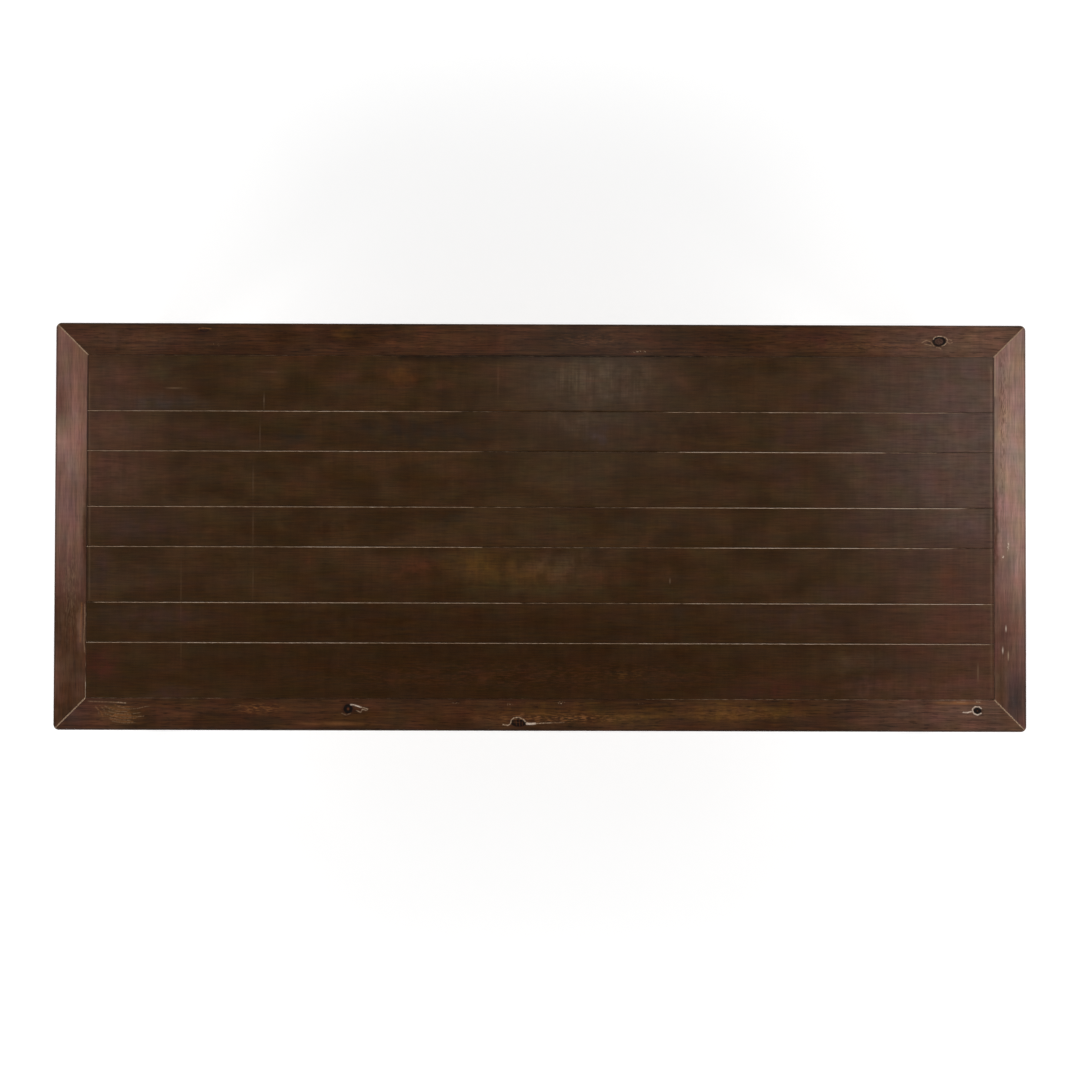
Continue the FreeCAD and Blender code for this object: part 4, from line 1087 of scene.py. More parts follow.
@dataclass
class PlankField:
    """The seven boards of the top, tongued together and tongued into the frame at their ends."""

    widths: tuple[float, ...] = (0.139, 0.100, 0.139, 0.100, 0.139, 0.100, 0.139)
    thick: float = 0.025
    gap: float = 0.4 * MM
    board_arris: float = 2.4 * MM
    tongue_low: float = 0.7455
    tongue_high: float = 0.7535
    tongue_length: float = 9 * MM
    groove_play: float = 0.2 * MM
    station_pitch: float = 11 * MM
    face_columns: int = 7
    under_arris: float = 0.6 * MM
    edge_change: float = 0.16
    edge_pitch: float = 0.11
    # The least back wear also serves as painted highlight on the lit facet of each groove
    least_back_wear: float = 0.42
    front_wear: float = 0.3
    # The grime values below carry painted shade in the seams and at the eased plank ends
    least_grime: float = 0.1
    end_grime: float = 0.3
    frame_grime: tuple[Stretch, ...] = stretches((400, 705, 0.6, 60), (480, 630, 1.0, 60))
    finish: StainedWood = StainedWood("plank", Tone.ESPRESSO, Tone.DEEP, bare_below=0.7372)

    def section(self, number: int, back: float, front: float) -> tuple[Section, int, int, int]:
        """The section of one board.

        Args:
            number: the board's number from the back, from 0.
            back: where its back edge is.
            front: where its front edge is.

        Returns:
            The section, and the places in it of the front edge's upper and lower tongue level and of the back
            edge's lower one.
        """
        last = number == len(self.widths) - 1
        low, high, under = self.tongue_low, self.tongue_high, TOP - self.thick
        back_edge = arris(back, self.board_arris if number else FRAME_SIDE_ARRIS, -1, 1)
        front_edge = arris(front, FRAME_SIDE_ARRIS if last else self.board_arris, 1, 2)
        face = np.linspace(back_edge[-1].out, front_edge[-1].out, self.face_columns + 2)[1:-1]
        corners = [Corner(back, high), *back_edge]
        corners += [*[Corner(out, TOP, swell=1.0) for out in face], *front_edge[::-1]]
        tip, root, play = front - self.tongue_length, front + GROOVE_DEPTH, self.groove_play
        if last:
            side = [(front, high), (tip, high), (tip, low), (front, low)]
        else:
            side = [(front, high + play), (root, high + play), (root, high), (root, low), (root, low - play)]
            side.append((front, low - play))
        high_end, low_start = len(corners) + (0 if last else 2), len(corners) + 3
        ease, tip = self.under_arris, back + self.tongue_length
        below = [(front, under + ease), (front + ease, under), (back - ease, under), (back, under + ease)]
        corners += [Corner(*each) for each in (*side, *below)]
        low_end = len(corners)
        corners += [Corner(*each) for each in ((back, low), (tip, low), (tip, high))]
        return Section(corners), high_end, low_start, low_end

    def stations(self) -> list[Point]:
        """Places along a board, each with how far its top is eased down there.

        Returns:
            The places in order.
        """
        shoulder = FIELD_HALF_LENGTH - self.gap / 2
        ease = [(shoulder, 1.3 * MM), (shoulder - 0.4 * MM, 0.45 * MM)]
        ease += [(shoulder - back * MM, 0.0) for back in (1.4, 2.2, 3.0, 3.9, 5.0, 6.2)]
        count = round(2 * shoulder / self.station_pitch)
        inner = [(-shoulder + 2 * shoulder * n / count, 0.0) for n in range(1, count)]
        return [(-x, down) for x, down in ease] + inner + ease[::-1]

    def tongue_ends(self, draft: MeshDraft, high_end: int, low_start: int, low_end: int) -> None:
        """Closes both ends of a board, with a tongue on each.

        Args:
            draft: the board so far.
            high_end: the place in its outline where the front edge reaches the tongue's upper level.
            low_start: the same for the lower level.
            low_end: the same for the back edge's lower level.
        """
        for ring, outward in ((draft.rings[0], -1.0), (draft.rings[-1], 1.0)):
            draft.faces += [ring[: high_end + 1], ring[low_start : low_end + 1]]
            root = [*ring[high_end : low_start + 1], *ring[low_end:], ring[0]]
            tips = np.array([draft.points[n] for n in root]) + (outward * self.tongue_length, 0, 0)
            tip = draft.ring(tips, 0.0, 0.0)
            draft.band(root, tip)
            draft.faces.append(tip)

    def board(self, number: int) -> bpy.types.Object:
        """Makes one board.

        Args:
            number: the board's number from the back, from 0.

        Returns:
            The board.
        """
        edge = FIELD_HALF_WIDTH - sum(self.widths[:number])
        back, front = edge - self.gap / 2, edge - self.widths[number] + self.gap / 2
        section, *ends = self.section(number, back, front)
        stations = self.stations()
        places = np.array([x for x, _ in stations])
        seeds, least = (3.1 * number + 0.2, 3.1 * number + 1.7), self.least_grime
        sizes = [1 + self.edge_change * ripple(places, self.edge_pitch, seed) for seed in seeds]
        pixels = VIEW.pixels(Side.BACK.place(places, back, TOP))[:, 0]
        worn, dirt_and_shade = wear_along(JOINT_WEAR_AND_HIGHLIGHT[number], pixels), wear_along(self.frame_grime, pixels) + least
        at_back, draft = section.of["edge"] == 1, MeshDraft(PLANK_STROKES)
        for n, (x, down) in enumerate(stations):
            out, height = section.at((sizes[0][n], sizes[1][n]), x, 0.4, number * 2.3)
            height = np.minimum(height, TOP - down)
            back_wear_and_highlight = max(worn[n], self.least_back_wear)
            # The seams' arrises and the eased ends get grime with painted shade
            back_grime_and_shade = least * (1 - worn[n]) if number else dirt_and_shade[n]
            wear = np.where(at_back, back_wear_and_highlight, self.front_wear) * section.of["wear"]
            grime = np.where(at_back, back_grime_and_shade, least) * section.of["grime"]
            if down:
                grime = np.where(height > NEAR_TOP, np.maximum(grime, self.end_grime), grime)
            draft.ring(Side.BACK.place(x, out, height), wear, grime)
        draft.loft(closed=False)
        self.tongue_ends(draft, *ends)
        sway, rise = 0.02 * math.sin(4.1 * number), 0.02 * math.cos(2.7 * number)
        name = f"plank_{number + 1}"
        dress = replace(self.finish, name=name + "_finish", marks=SHARED_MARKS + PLANK_MARKS[number])
        timber = Timber(Run.ALONG_X, (0, (back + front) / 2 + sway, TOP - 0.05 - rise), 4.3 * number)
        return draft.made(name, f"field_board_{number + 1}", "top_wood", timber, dress.material())

    def build(self) -> list[bpy.types.Object]:
        """Makes the seven boards."""
        return [self.board(number) for number in range(len(self.widths))]


# How grimy and shaded the inner edge of each frame board is, with painted shade in its seam with the field,
# and how worn it is
INNER_GRIME_AND_SHADE = {
    Side.BACK: Stretch(440, 690, 0.95, 120),
    Side.FRONT: Stretch(380, 700, 0.3, 60),
    Side.LEFT: Stretch(360, 600, 0.5, 40),
    Side.RIGHT: Stretch(350, 720, 0.35, 20),
}
INNER_WEAR = {
    Side.BACK: stretches((596, 668, 0.42, 20), (700, 780, 0.28, 20)),
    Side.FRONT: stretches(
        (86, 240, 0.5, 20), (240, 640, 0.34, 30), (640, 930, 0.6, 30), (930, 990, 0.9, 20),
    ),
    Side.LEFT: stretches((604, 645, 0.5, 16), (640, 680, 0.45, 16), (678, 702, 1.1, 8)),
    Side.RIGHT: stretches((540, 700, 0.36, 30)),
}

# The marks and the drawn-out strokes of each frame board
FRAME_MARKS = {
    Side.BACK: (
        Knot(939, 341.5, 6, 4.4, 0.82),
        *patches(
            (204, 331, 7, 4, Tone.KNOT_RIM, 0.9, Lay.WASH), (120, 341, 90, 15, Tone.ROSEWOOD, 0.55),
            (343, 335, 16, 8, Tone.HONEY, 0.45), (410, 345, 26, 8, Tone.RUST, 0.55),
            (467, 344, 44, 9, Tone.RUST, 0.5), (560, 340, 40, 12, Tone.DEEP, 0.5),
            (640, 338, 34, 10, Tone.RUST, 0.4), (730, 336, 44, 12, Tone.DEEP, 0.5),
            # The pink wash at the right end is painted sheen
            (817, 341, 34, 12, Tone.WINE, 0.55), (972, 342, 132, 44, Tone.PINKISH, 0.64, Lay.WASH),
            (640, 352, 34, 2.6, Tone.BARE, 0.44, Lay.CHIPS),
            (690, 351, 26, 2.6, Tone.BARE_SHADED, 0.36, Lay.CHIPS),
            (215, 345, 14, 4, Tone.BARE_SHADED, 0.36, Lay.CHIPS),
            (480, 352, 24, 2.4, Tone.AMBER, 0.34, Lay.CHIPS),
            (590, 340, 60, 12, Tone.AMBER, 0.22, Lay.FIBRES), (880, 346, 90, 9, Tone.AMBER, 0.3, Lay.FIBRES),
        ),
    ),
    Side.FRONT: (
        Knot(348.1, 708.9, 4, 4.1, 0.45, Tone.RUST, 0.6),
        Knot(518.5, 722.6, 6.6, 3.6, 0.1, Tone.KNOT_RIM, 0.5),
        Knot(977.6, 711, 3.4, 3.3, 0.35, Tone.RUST, 0.3),
        *patches(
            (116, 715, 34, 13, Tone.HONEY, 0.55, Lay.WASH), (120, 715, 28, 10, Tone.AMBER, 0.4, Lay.FIBRES),
            (70, 714, 16, 14, Tone.SLATE, 0.6), (170, 710, 34, 9, Tone.RUST, 0.4),
            (257, 710, 34, 10, Tone.RUST, 0.6), (257, 708, 40, 8, Tone.AMBER, 0.5, Lay.FIBRES),
            (330, 723.5, 50, 3.4, Tone.AMBER, 0.4, Lay.SCRATCH), (383, 717, 54, 9, Tone.HONEY, 0.35),
            (467, 713, 50, 10, Tone.RUST, 0.45), (550, 710, 66, 10, Tone.HONEY, 0.45),
            (560, 718, 120, 8, Tone.AMBER, 0.6, Lay.FIBRES), (640, 716, 54, 9, Tone.HONEY, 0.45),
            (730, 712, 54, 12, Tone.HONEY, 0.6), (783, 712, 40, 10, Tone.HONEY, 0.4),
            (740, 714, 90, 10, Tone.AMBER, 0.3, Lay.FIBRES),
            # The pink wash at the right end is painted sheen
            (988, 712, 160, 44, Tone.PINKISH, 0.56, Lay.WASH),
            (90, 712, 44, 30, Tone.ROSEWOOD, 0.5, Lay.WASH), (958, 703, 34, 3, Tone.AMBER, 0.8, Lay.SCRATCH),
            (995, 716, 18, 10, Tone.SLATE, 0.35), (560, 703, 12, 3.5, Tone.BARE, 0.42, Lay.CHIPS),
            (510, 704, 9, 5, Tone.BARE_SHADED, 0.44, Lay.CHIPS),
            (455, 703, 12, 2.4, Tone.BARE, 0.42, Lay.CHIPS),
            (240, 706, 12, 3, Tone.BARE_SHADED, 0.4, Lay.CHIPS),
            (640, 704, 14, 3, Tone.BARE_SHADED, 0.36, Lay.CHIPS),
            (390, 714, 110, 10, Tone.DARK_RED_BROWN, 0.45),
        ),
    ),
    # The end board's pink finish is painted sheen, paler on its upper half and taken back to red-brown lower
    # down
    Side.LEFT: patches(
        (76, 388, 14, 52, Tone.ROSEWOOD, 0.35, Lay.WASH), (78, 410, 12, 70, Tone.AMBER, 0.2, Lay.WASH),
        (72, 375, 24, 38, Tone.DUSTY_SHADE, 0.4), (75, 430, 9, 60, Tone.DUSTY_PINK, 0.4, Lay.WASH),
        (70, 462, 5, 18, Tone.DUSTY_PINK, 0.35, Lay.WASH), (61, 400, 7, 20, Tone.ROSEWOOD, 0.6, Lay.WASH),
        (62, 442, 9, 26, Tone.DUSTY_PINK, 0.6, Lay.WASH), (85, 538, 3.4, 72, Tone.RED_BROWN, 0.95, Lay.WASH),
        (70, 640, 70, 90, Tone.RED_BROWN, 0.95, Lay.WASH), (70, 710, 70, 110, Tone.RED_BROWN, 0.9, Lay.WASH),
        (66, 585, 40, 60, Tone.ROSEWOOD, 0.6, Lay.WASH),
        (68, 610, 26, 26, Tone.DARK_RED_BROWN, 0.55, Lay.WASH),
        (80, 628, 4, 26, Tone.PINKISH, 0.8, Lay.WASH), (57, 672, 9, 26, Tone.PINKISH, 0.6),
        (66, 715, 16, 16, Tone.DARK_RED_BROWN, 0.8), (70, 580, 14, 90, Tone.BARE_SHADED, 0.25, Lay.FIBRES),
    ),
    # The pale pink washes are painted sheen, over wood that is also paler at this end
    Side.RIGHT: patches(
        (1014, 450, 40, 190, Tone.DUSTY_PINK, 1, Lay.WASH), (1000, 405, 5, 40, Tone.ROSEWOOD, 0.3, Lay.WASH),
        (1007, 568, 18, 20, Tone.ROSEWOOD, 0.35, Lay.WASH),
        (1019, 530, 10, 70, Tone.DUSTY_PINK, 0.8, Lay.WASH),
        (1002, 450, 4, 190, Tone.ROSEWOOD, 0.55, Lay.FIBRES),
        (1004, 400, 8, 90, Tone.ROSEWOOD, 0.55, Lay.FIBRES),
        (996, 530, 3.4, 90, Tone.ROSEWOOD, 0.95, Lay.WASH),
        (1002, 636, 26, 54, Tone.ROSEWOOD, 0.8, Lay.WASH), (1010, 710, 50, 80, Tone.ROSEWOOD, 0.8, Lay.WASH),
        (1015, 700, 16, 40, Tone.SLATE, 0.85, Lay.WASH), (1001, 690, 7, 50, Tone.RED_BROWN, 0.6, Lay.WASH),
        (1008, 546, 2.4, 12, Tone.CHALK, 0.54, Lay.CHIPS),
        (1003, 556.5, 2.2, 3, Tone.CHALK, 0.62, Lay.CHIPS),
        (1006, 628.5, 1.2, 5, Tone.CHALK, 0.75, Lay.SCRATCH),
        (1002.8, 650.5, 1.2, 5.5, Tone.CHALK, 0.7, Lay.SCRATCH),
        (1008.3, 656, 1.1, 7, Tone.BARE, 0.7, Lay.SCRATCH),
        (1013.3, 700, 1.6, 14, Tone.BARE_SHADED, 0.42, Lay.CHIPS),
    ),
}
# The dark lines along the seams with the field are dark joints with painted shade in them
FRAME_STROKES = {
    Side.BACK: (
        drawn(
            Tone.KNOT_CORE, 1.6, 0.7, 0.5, ((200.5, 330.2), (204.5, 332), (208, 330.2)),
            ((927.6, 342.7), (930.8, 343.3)),
        ),
        drawn(Tone.AMBER, 1, 0.6, 0.8, ((198.5, 328.6), (203, 328), (211, 328.8))),
        drawn(
            Tone.BARE, 1, 0.85, 0.7,
            ((933.3, 339.4), (934.5, 337.5), (938.3, 336.3), (942.6, 336.5), (946.4, 338.1)),
            ((946.4, 338.1), (947.6, 340.6), (946.4, 343.1), (944.5, 345), (942, 346)),
        ),
        drawn(
            Tone.BARE_SHADED, 1, 0.85, 0.6,
            ((922, 342.5), (926.4, 340.4), (930.8, 341.7), (932.4, 344.4), (934, 346)),
            ((924.5, 344), (929.5, 345.2), (932, 345.4)), ((947, 342), (949.8, 343.7), (952.4, 342.6)),
            ((948.9, 339.4), (951.6, 340.4)), ((936.4, 347.6), (939.5, 348), (941, 349)),
        ),
        drawn(Tone.GRIME, 1.8, 0.7, 0.3, ((400, 356.2), (560, 356.4), (700, 356.4))),
    ),
    Side.FRONT: (
        drawn(
            Tone.CHALK, 1.3, 1, 0.5,
            ((981.2, 708.5), (978.9, 706.8), (975.1, 706.8), (972.5, 709.1), (972.5, 711.2)),
            ((972.5, 711.2), (973.9, 713.5), (977.6, 715), (981, 713.3)),
            ((963.3, 712.4), (967.6, 712.6), (971.2, 711.6)), ((350.6, 704.6), (353.8, 704.9), (361, 707.2)),
        ),
        drawn(
            Tone.BARE, 1.1, 0.9, 0.7,
            ((503, 724.6), (508, 725.4), (510.4, 723.9), (511.5, 719.9), (514.3, 717.7), (519.3, 717.4)),
            ((519.3, 717.4), (523, 719.3), (526.1, 722.2), (528.6, 723.8)),
        ),
        drawn(Tone.CHALK, 2, 0.9, 0.2, ((526.8, 723.8), (530, 723.9), (535, 723.6))),
        drawn(
            Tone.BARE, 0.9, 0.75, 0.7,
            ((361, 707.2), (364.5, 708), (368.1, 708.9), (366.3, 710.5), (362.5, 709.1)),
            ((356.3, 710.4), (360.6, 712.3), (362.5, 709.1)), ((535, 723.6), (542, 723.2), (551, 722.9)),
            ((976.4, 702), (980, 702.2)), ((117, 702.2), (126, 703)),
        ),
        drawn(
            Tone.BARE_SHADED, 1, 0.5, 0.6, ((341.9, 713.3), (346.3, 715.1), (350.6, 713.3)),
            ((957, 702.4), (966, 702)), ((88, 701.2), (104, 701.8), (118, 702.4)),
            ((551, 722.9), (564, 722.4)),
        ),
        drawn(
            Tone.BARE_SHADED, 0.7, 0.55, 0.9, ((95, 706), (98, 709.5), (99, 714)),
            ((100, 705.5), (104, 709.5), (106, 714.5)), ((105, 706), (110, 709), (118, 711.3), (127, 711.6)),
            ((108, 711), (117, 713.6), (129, 714.2), (141, 712.6)),
            ((107, 714), (116, 716.6), (129, 717.4), (144, 716)), ((109, 717.6), (119, 719.8), (131, 720.4)),
            ((118, 706.4), (127, 708.8), (137, 708.6), (146, 706.4)), ((112, 721), (124, 723), (136, 722.6)),
        ),
        drawn(
            Tone.AMBER, 0.9, 0.5, 0.8, ((110, 707.5), (118, 709.8), (130, 710.2)),
            ((109, 712.6), (118, 715), (131, 715.6)), ((110, 716), (120, 718.2), (136, 718.6)),
            ((110, 719.4), (122, 721.6), (133, 721.8)), ((97, 708), (101, 712), (103, 717)),
            ((114, 704.6), (124, 706.8), (134, 706.8)),
        ),
        drawn(
            Tone.RUST, 1, 0.7, 0.2, ((516.2, 720.8), (516.6, 725.2)), ((519.3, 720.2), (519.8, 726)),
            ((522.2, 722), (522.4, 725)),
        ),
    ),
    Side.LEFT: (
        drawn(Tone.GRIME, 1.1, 0.45, 0.3, ((88, 357), (87.8, 480), (87.6, 600))),
        drawn(Tone.AMBER, 1.6, 0.5, 0.7, ((81.8, 603), (81.4, 616), (80.6, 630), (80.2, 642))),
        drawn(Tone.BARE_SHADED, 1, 0.6, 0.5, ((84.8, 604), (84.7, 622), (83.8, 638), (84.6, 652))),
        drawn(Tone.DARK_RED_BROWN, 1, 0.6, 0.5, ((83.2, 608), (83, 640))),
        drawn(Tone.AMBER, 1.6, 0.85, 0.3, ((86.7, 652), (87, 680))),
        drawn(Tone.BARE, 1.2, 0.8, 0.3, ((87.1, 678), (87.3, 701))),
    ),
    Side.RIGHT: (
        drawn(Tone.GRIME, 1, 0.4, 0.3, ((993.1, 356), (993.1, 470), (993.3, 590))),
        drawn(Tone.BARE, 1.3, 0.6, 0.3, ((995, 346), (994.8, 396))),
    ),
}


@dataclass
class MitredFrame:
    """The four boards round the top, mitred at the corners and grooved for the tongues of the field."""

    width: float = 0.080
    thick: float = 0.038
    top_radius: float = 4 * MM
    under_radius: float = 3 * MM
    corner_radius: float = 14 * MM
    mitre_arris: float = 1.2 * MM
    groove_low: float = 0.7453
    groove_high: float = 0.7537
    station_pitch: float = 12 * MM
    fine_pitch: float = 1.2 * MM
    face_columns: int = 66
    hairline: float = 0.05 * MM
    steps_to_mitre: tuple[float, ...] = (20.0, 16.5, 14.0, 11.5, 9.0, 6.5, 4.0, 2.6, 1.9, 1.7, 0.0)
    lean_from: float = 0.12
    lean_over: float = 0.10
    edge_change: float = 0.3
    edge_pitch: float = 0.09
    mitre_wear: float = 0.72
    rim_wear: float = 0.32
    knot_room: float = 22 * MM
    long_finish: StainedWood = StainedWood(
        "frame", Tone.RED_BROWN, Tone.DARK_RED_BROWN, rings_dark=0.16, broad_streaks=0.8, fine_streaks=1.6,
        saw_streaks=0.25, bands=0.3, dashes=0.5,
    )
    # The end boards' paler pink finish is a copy of the long boards' finish lit by painted sheen
    end_finish: StainedWood = replace(
        long_finish, body=Tone.PINKISH, shade=Tone.DUSTY_SHADE, rings_dark=0.05, fine_streaks=0.9, dashes=0.18
    )

    @property
    def knots(self) -> list[Knot]:
        """The knots of all four boards."""
        return [mark for marks in FRAME_MARKS.values() for mark in marks if isinstance(mark, Knot)]

    def reaches(self, side: Side) -> Point:
        """Half the length of a board's inner edge, and how far that edge is from the middle of the table."""
        halves = FIELD_HALF_LENGTH, FIELD_HALF_WIDTH
        return halves if side.lengthwise else halves[::-1]

    def holds(self, side: Side, knot: Knot) -> bool:
        """Whether a knot lies in the board on one side."""
        (along, out), (half, base) = side.along_out(*knot.middle), self.reaches(side)
        return base < out < base + self.width and abs(along) < half + out - base

    def section(self) -> Section:
        """The section of a frame board, with its inner face at zero.

        Returns:
            The section.
        """
        corners = [Corner(0, self.groove_high), *arris(0, FRAME_SIDE_ARRIS, 1, 1)]
        stop = self.width - self.top_radius - 1.5 * MM
        face = np.linspace(corners[-1].out, stop, self.face_columns + 1)[1:]
        corners += [Corner(out, TOP, swell=1.0) for out in face]
        for n in range(7):
            angle = math.pi / 2 * n / 6
            out = self.width - self.top_radius * (1 - math.sin(angle))
            height = TOP - self.top_radius * (1 - math.cos(angle))
            wear, grime = 1.0 if 2 < n < 5 else 0.3, 0.45 if n < 3 else 0.2
            corners.append(Corner(out, height, edge=2, wear=wear, grime=grime))
        corners.append(Corner(self.width, TOP - self.thick / 2))
        under, middle = TOP - self.thick, self.width / 2
        for n in range(6):
            angle = math.pi / 2 * n / 5
            out = self.width - self.under_radius * (1 - math.cos(angle))
            corners.append(Corner(out, under + self.under_radius * (1 - math.sin(angle)), edge=2, wear=0.5))
        groove = (0, self.groove_low), (GROOVE_DEPTH, self.groove_low), (GROOVE_DEPTH, self.groove_high)
        inner = (middle, under), (0.5 * MM, under), (0, under + 0.5 * MM)
        return Section([*corners, *[Corner(*each) for each in (*inner, *groove)]])

    def stations(self, side: Side, half: float) -> list[float]:
        """Places along a frame board's inner edge, closer together at its knots, strokes and mitres.

        Args:
            side: which board it is.
            half: half the length of its inner edge.

        Returns:
            The places in order.
        """
        own = [side.along_out(*knot.middle)[0] for knot in self.knots if self.holds(side, knot)]
        fine = [(along - self.knot_room, along + self.knot_room) for along in own]
        axis, middle = 0 if side.lengthwise else 1, VIEW.picture / 2
        for ends in [ends for stroke in FRAME_STROKES[side] for ends in stroke.spans(axis)]:
            pixels = [(end, middle) if side.lengthwise else (middle, end) for end in ends]
            low, high = sorted(side.along_out(*VIEW.on_top(*pixel))[0] for pixel in pixels)
            fine.append((low - self.station_pitch - 3 * MM, high + 3 * MM))
        near_end = [half - self.hairline - step * MM for step in self.steps_to_mitre]
        places, place = [], -near_end[0]
        while place < near_end[0]:
            places.append(place)
            place += self.fine_pitch if any(low < place < high for low, high in fine) else self.station_pitch
        return [*[-p for p in near_end[::-1]], *places[1:], *near_end]

    def rounded(self, along: np.ndarray, out: np.ndarray, half: float) -> tuple[np.ndarray, np.ndarray]:
        """Rounds the corner of the frame seen from above.

        Args:
            along: places along the board.
            out: places across it, from its inner edge.
            half: half the length of its inner edge.

        Returns:
            The places along and across, moved onto the rounded corner.
        """
        far, wide = half + self.width - self.corner_radius, self.width - self.corner_radius
        past, beyond = np.abs(along) - far, out - wide
        slant = np.maximum(np.hypot(past, beyond), 1e-9)
        pull = np.where((past > 0) & (beyond > 0), np.maximum(past, beyond) / slant, 1.0)
        return np.sign(along) * (past * pull + far), beyond * pull + wide

    def board(self, side: Side) -> bpy.types.Object:
        """Makes one frame board.

        Args:
            side: which board it is.

        Returns:
            The board.
        """
        half, base = self.reaches(side)
        section, stations, seed = self.section(), self.stations(side, half), 11.0 * side.value
        sizes = 1 + self.edge_change * ripple(np.array(stations), self.edge_pitch, seed)
        inside, draft = section.of["edge"] == 1, MeshDraft(FRAME_STROKES[side])
        for n, station in enumerate(stations):
            out, height = section.at((sizes[n], 1.0), station, 0.1, seed)
            lean = np.clip((abs(station) - (half - self.lean_from)) / self.lean_over, 0, 1)
            lean = lean * lean * (3 - 2 * lean)
            along = station + math.copysign(1.0, station) * out * lean
            to_mitre = (half - abs(station)) / math.sqrt(2) + (1 - lean)
            height = np.minimum(height, TOP - self.mitre_arris + to_mitre)
            along, outward = self.rounded(along, out, half)
            points = side.place(along, base + outward, height)
            for knot in self.knots:
                knot.sink(points)
            pixels = VIEW.pixels(points)[:, 0 if side.lengthwise else 1]
            inner = wear_along(INNER_WEAR[side], pixels)
            flecks = 0.5 + wave(station * 60, seed, 4.0)
            at_mitre = (to_mitre < 1.5 * MM) & (height > NEAR_TOP)
            wear = np.where(inside, inner * (0.6 + 0.8 * flecks), self.rim_wear) * section.of["wear"]
            # Grime with painted shade along the seam with the field
            dirt_and_shade = (INNER_GRIME_AND_SHADE[side].at(pixels) + 0.3) * (1 - inner)
            grime = np.where(inside, dirt_and_shade, 1.0) * section.of["grime"]
            draft.ring(points, np.where(at_mitre, self.mitre_wear, wear), np.where(at_mitre, 0.0, grime))
        draft.loft()
        heart = side.place(0.0, base + self.width / 2 + 0.012, TOP - 0.045)
        timber, name = Timber(side.run, heart, 37.0 + 5.7 * side.value), f"frame_{side.label}"
        finish = self.long_finish if side.lengthwise else self.end_finish
        dress = replace(finish, name=name + "_finish", marks=FRAME_MARKS[side])
        return draft.made(name, f"{side.label}_frame_board", "top_wood", timber, dress.material())

    def build(self) -> list[bpy.types.Object]:
        """Makes the four boards."""
        return [self.board(side) for side in Side]


@dataclass
class ApronFrame:
    """The four aprons under the top, each with a bead along its lower edge."""

    dress: bpy.types.Material
    long_reaches: Point = (1.067, 0.451)
    short_reaches: Point = (0.363, 1.155)
    thick: float = 0.023
    low: float = 0.619
    height: float = 0.105
    bead: float = 4 * MM
    quirk: float = 2.5 * MM
    inner_arris: float = 1 * MM
    bow: float = 0.12 * MM
    station_pitch: float = 16 * MM

    def section(self) -> np.ndarray:
        """The section: distance in from the face, height above the lower edge, wear, and grime with painted
        shade at the top edge and in the bead's quirk, of each point.

        Returns:
            The points, one row each.
        """
        high, bead, top = self.height, self.bead, 2 * self.bead + self.quirk
        points = [(self.thick - self.inner_arris, 0.0, 0.0, 0.0), (self.thick, self.inner_arris, 0.0, 0.0)]
        points += [(self.thick, high * share, 0.0, 0.0) for share in (0.5, 1.0)]
        points += [(0.0, high, 0.0, 0.6), (0.0, high - 2 * MM, 0.0, 0.4), (0.0, high * 0.6, 0.0, 0.0)]
        points += [(0.0, top + 3 * MM, 0.0, 0.0), (0.0, top + 0.6 * MM, 0.35, 0.1)]
        points += [(0.5 * MM, top - 0.4 * MM, 0.2, 0.6), (bead, 2 * bead, 0.0, 1.0)]
        for n in range(1, 12):
            angle = math.pi / 2 + math.pi * n / 12
            wear, grime = 0.45 if 4 <= n <= 9 else 0.1, 0.5 if n < 2 else 0.0
            points.append((bead * (1 + math.cos(angle)), bead * (1 + math.sin(angle)), wear, grime))
        return np.array([*points, (bead, 0.0, 0.1, 0.0)])

    def apron(self, side: Side) -> bpy.types.Object:
        """Makes one apron.

        Args:
            side: which side of the table it is on.

        Returns:
            The apron.
        """
        half, face = self.long_reaches if side.lengthwise else self.short_reaches
        (inward, height, wear, grime), draft = self.section().T, MeshDraft()
        for along in np.linspace(-half, half, round(2 * half / self.station_pitch) + 1):
            rub = 0.7 + 0.5 * wave(along * 9, side.value * 3.0, 1.0)
            bow = self.bow * (1 + wave(along * 4, side.value * 5.0, 2.0))
            out = face - inward - np.where(inward < self.bead, bow, 0.0)
            draft.ring(side.place(along, out, self.low + height), wear * rub, grime)
        draft.loft()
        timber = Timber(side.run, side.place(0.0, face - 0.06, self.low + 0.05), 71.0 + 6.1 * side.value)
        return draft.made(f"apron_{side.label}", f"{side.label}_apron", "base_wood", timber, self.dress)

    def build(self) -> list[bpy.types.Object]:
        """Makes the four aprons."""
        return [self.apron(side) for side in Side]


def arc(points: Sequence[Point], count: int) -> np.ndarray:
    """Points of the circle through three points.

    Args:
        points: the three points.
        count: how many steps to take.

    Returns:
        The points in order, one row each.
    """
    first, second, third = (complex(*point) for point in points)
    share = (third - first) / (second - first)
    middle = first - (first - second) * (share - abs(share) ** 2) / 2j / share.imag
    start, *turns = np.angle(np.array([first, second, third]) - middle)
    half_way, last = (turn - start for turn in turns)
    sweep = last % math.tau if half_way % math.tau < last % math.tau else last % math.tau - math.tau
    made = middle + abs(first - middle) * np.exp(1j * (start + sweep * np.arange(count + 1) / count))
    return np.stack([made.real, made.imag], axis=-1)


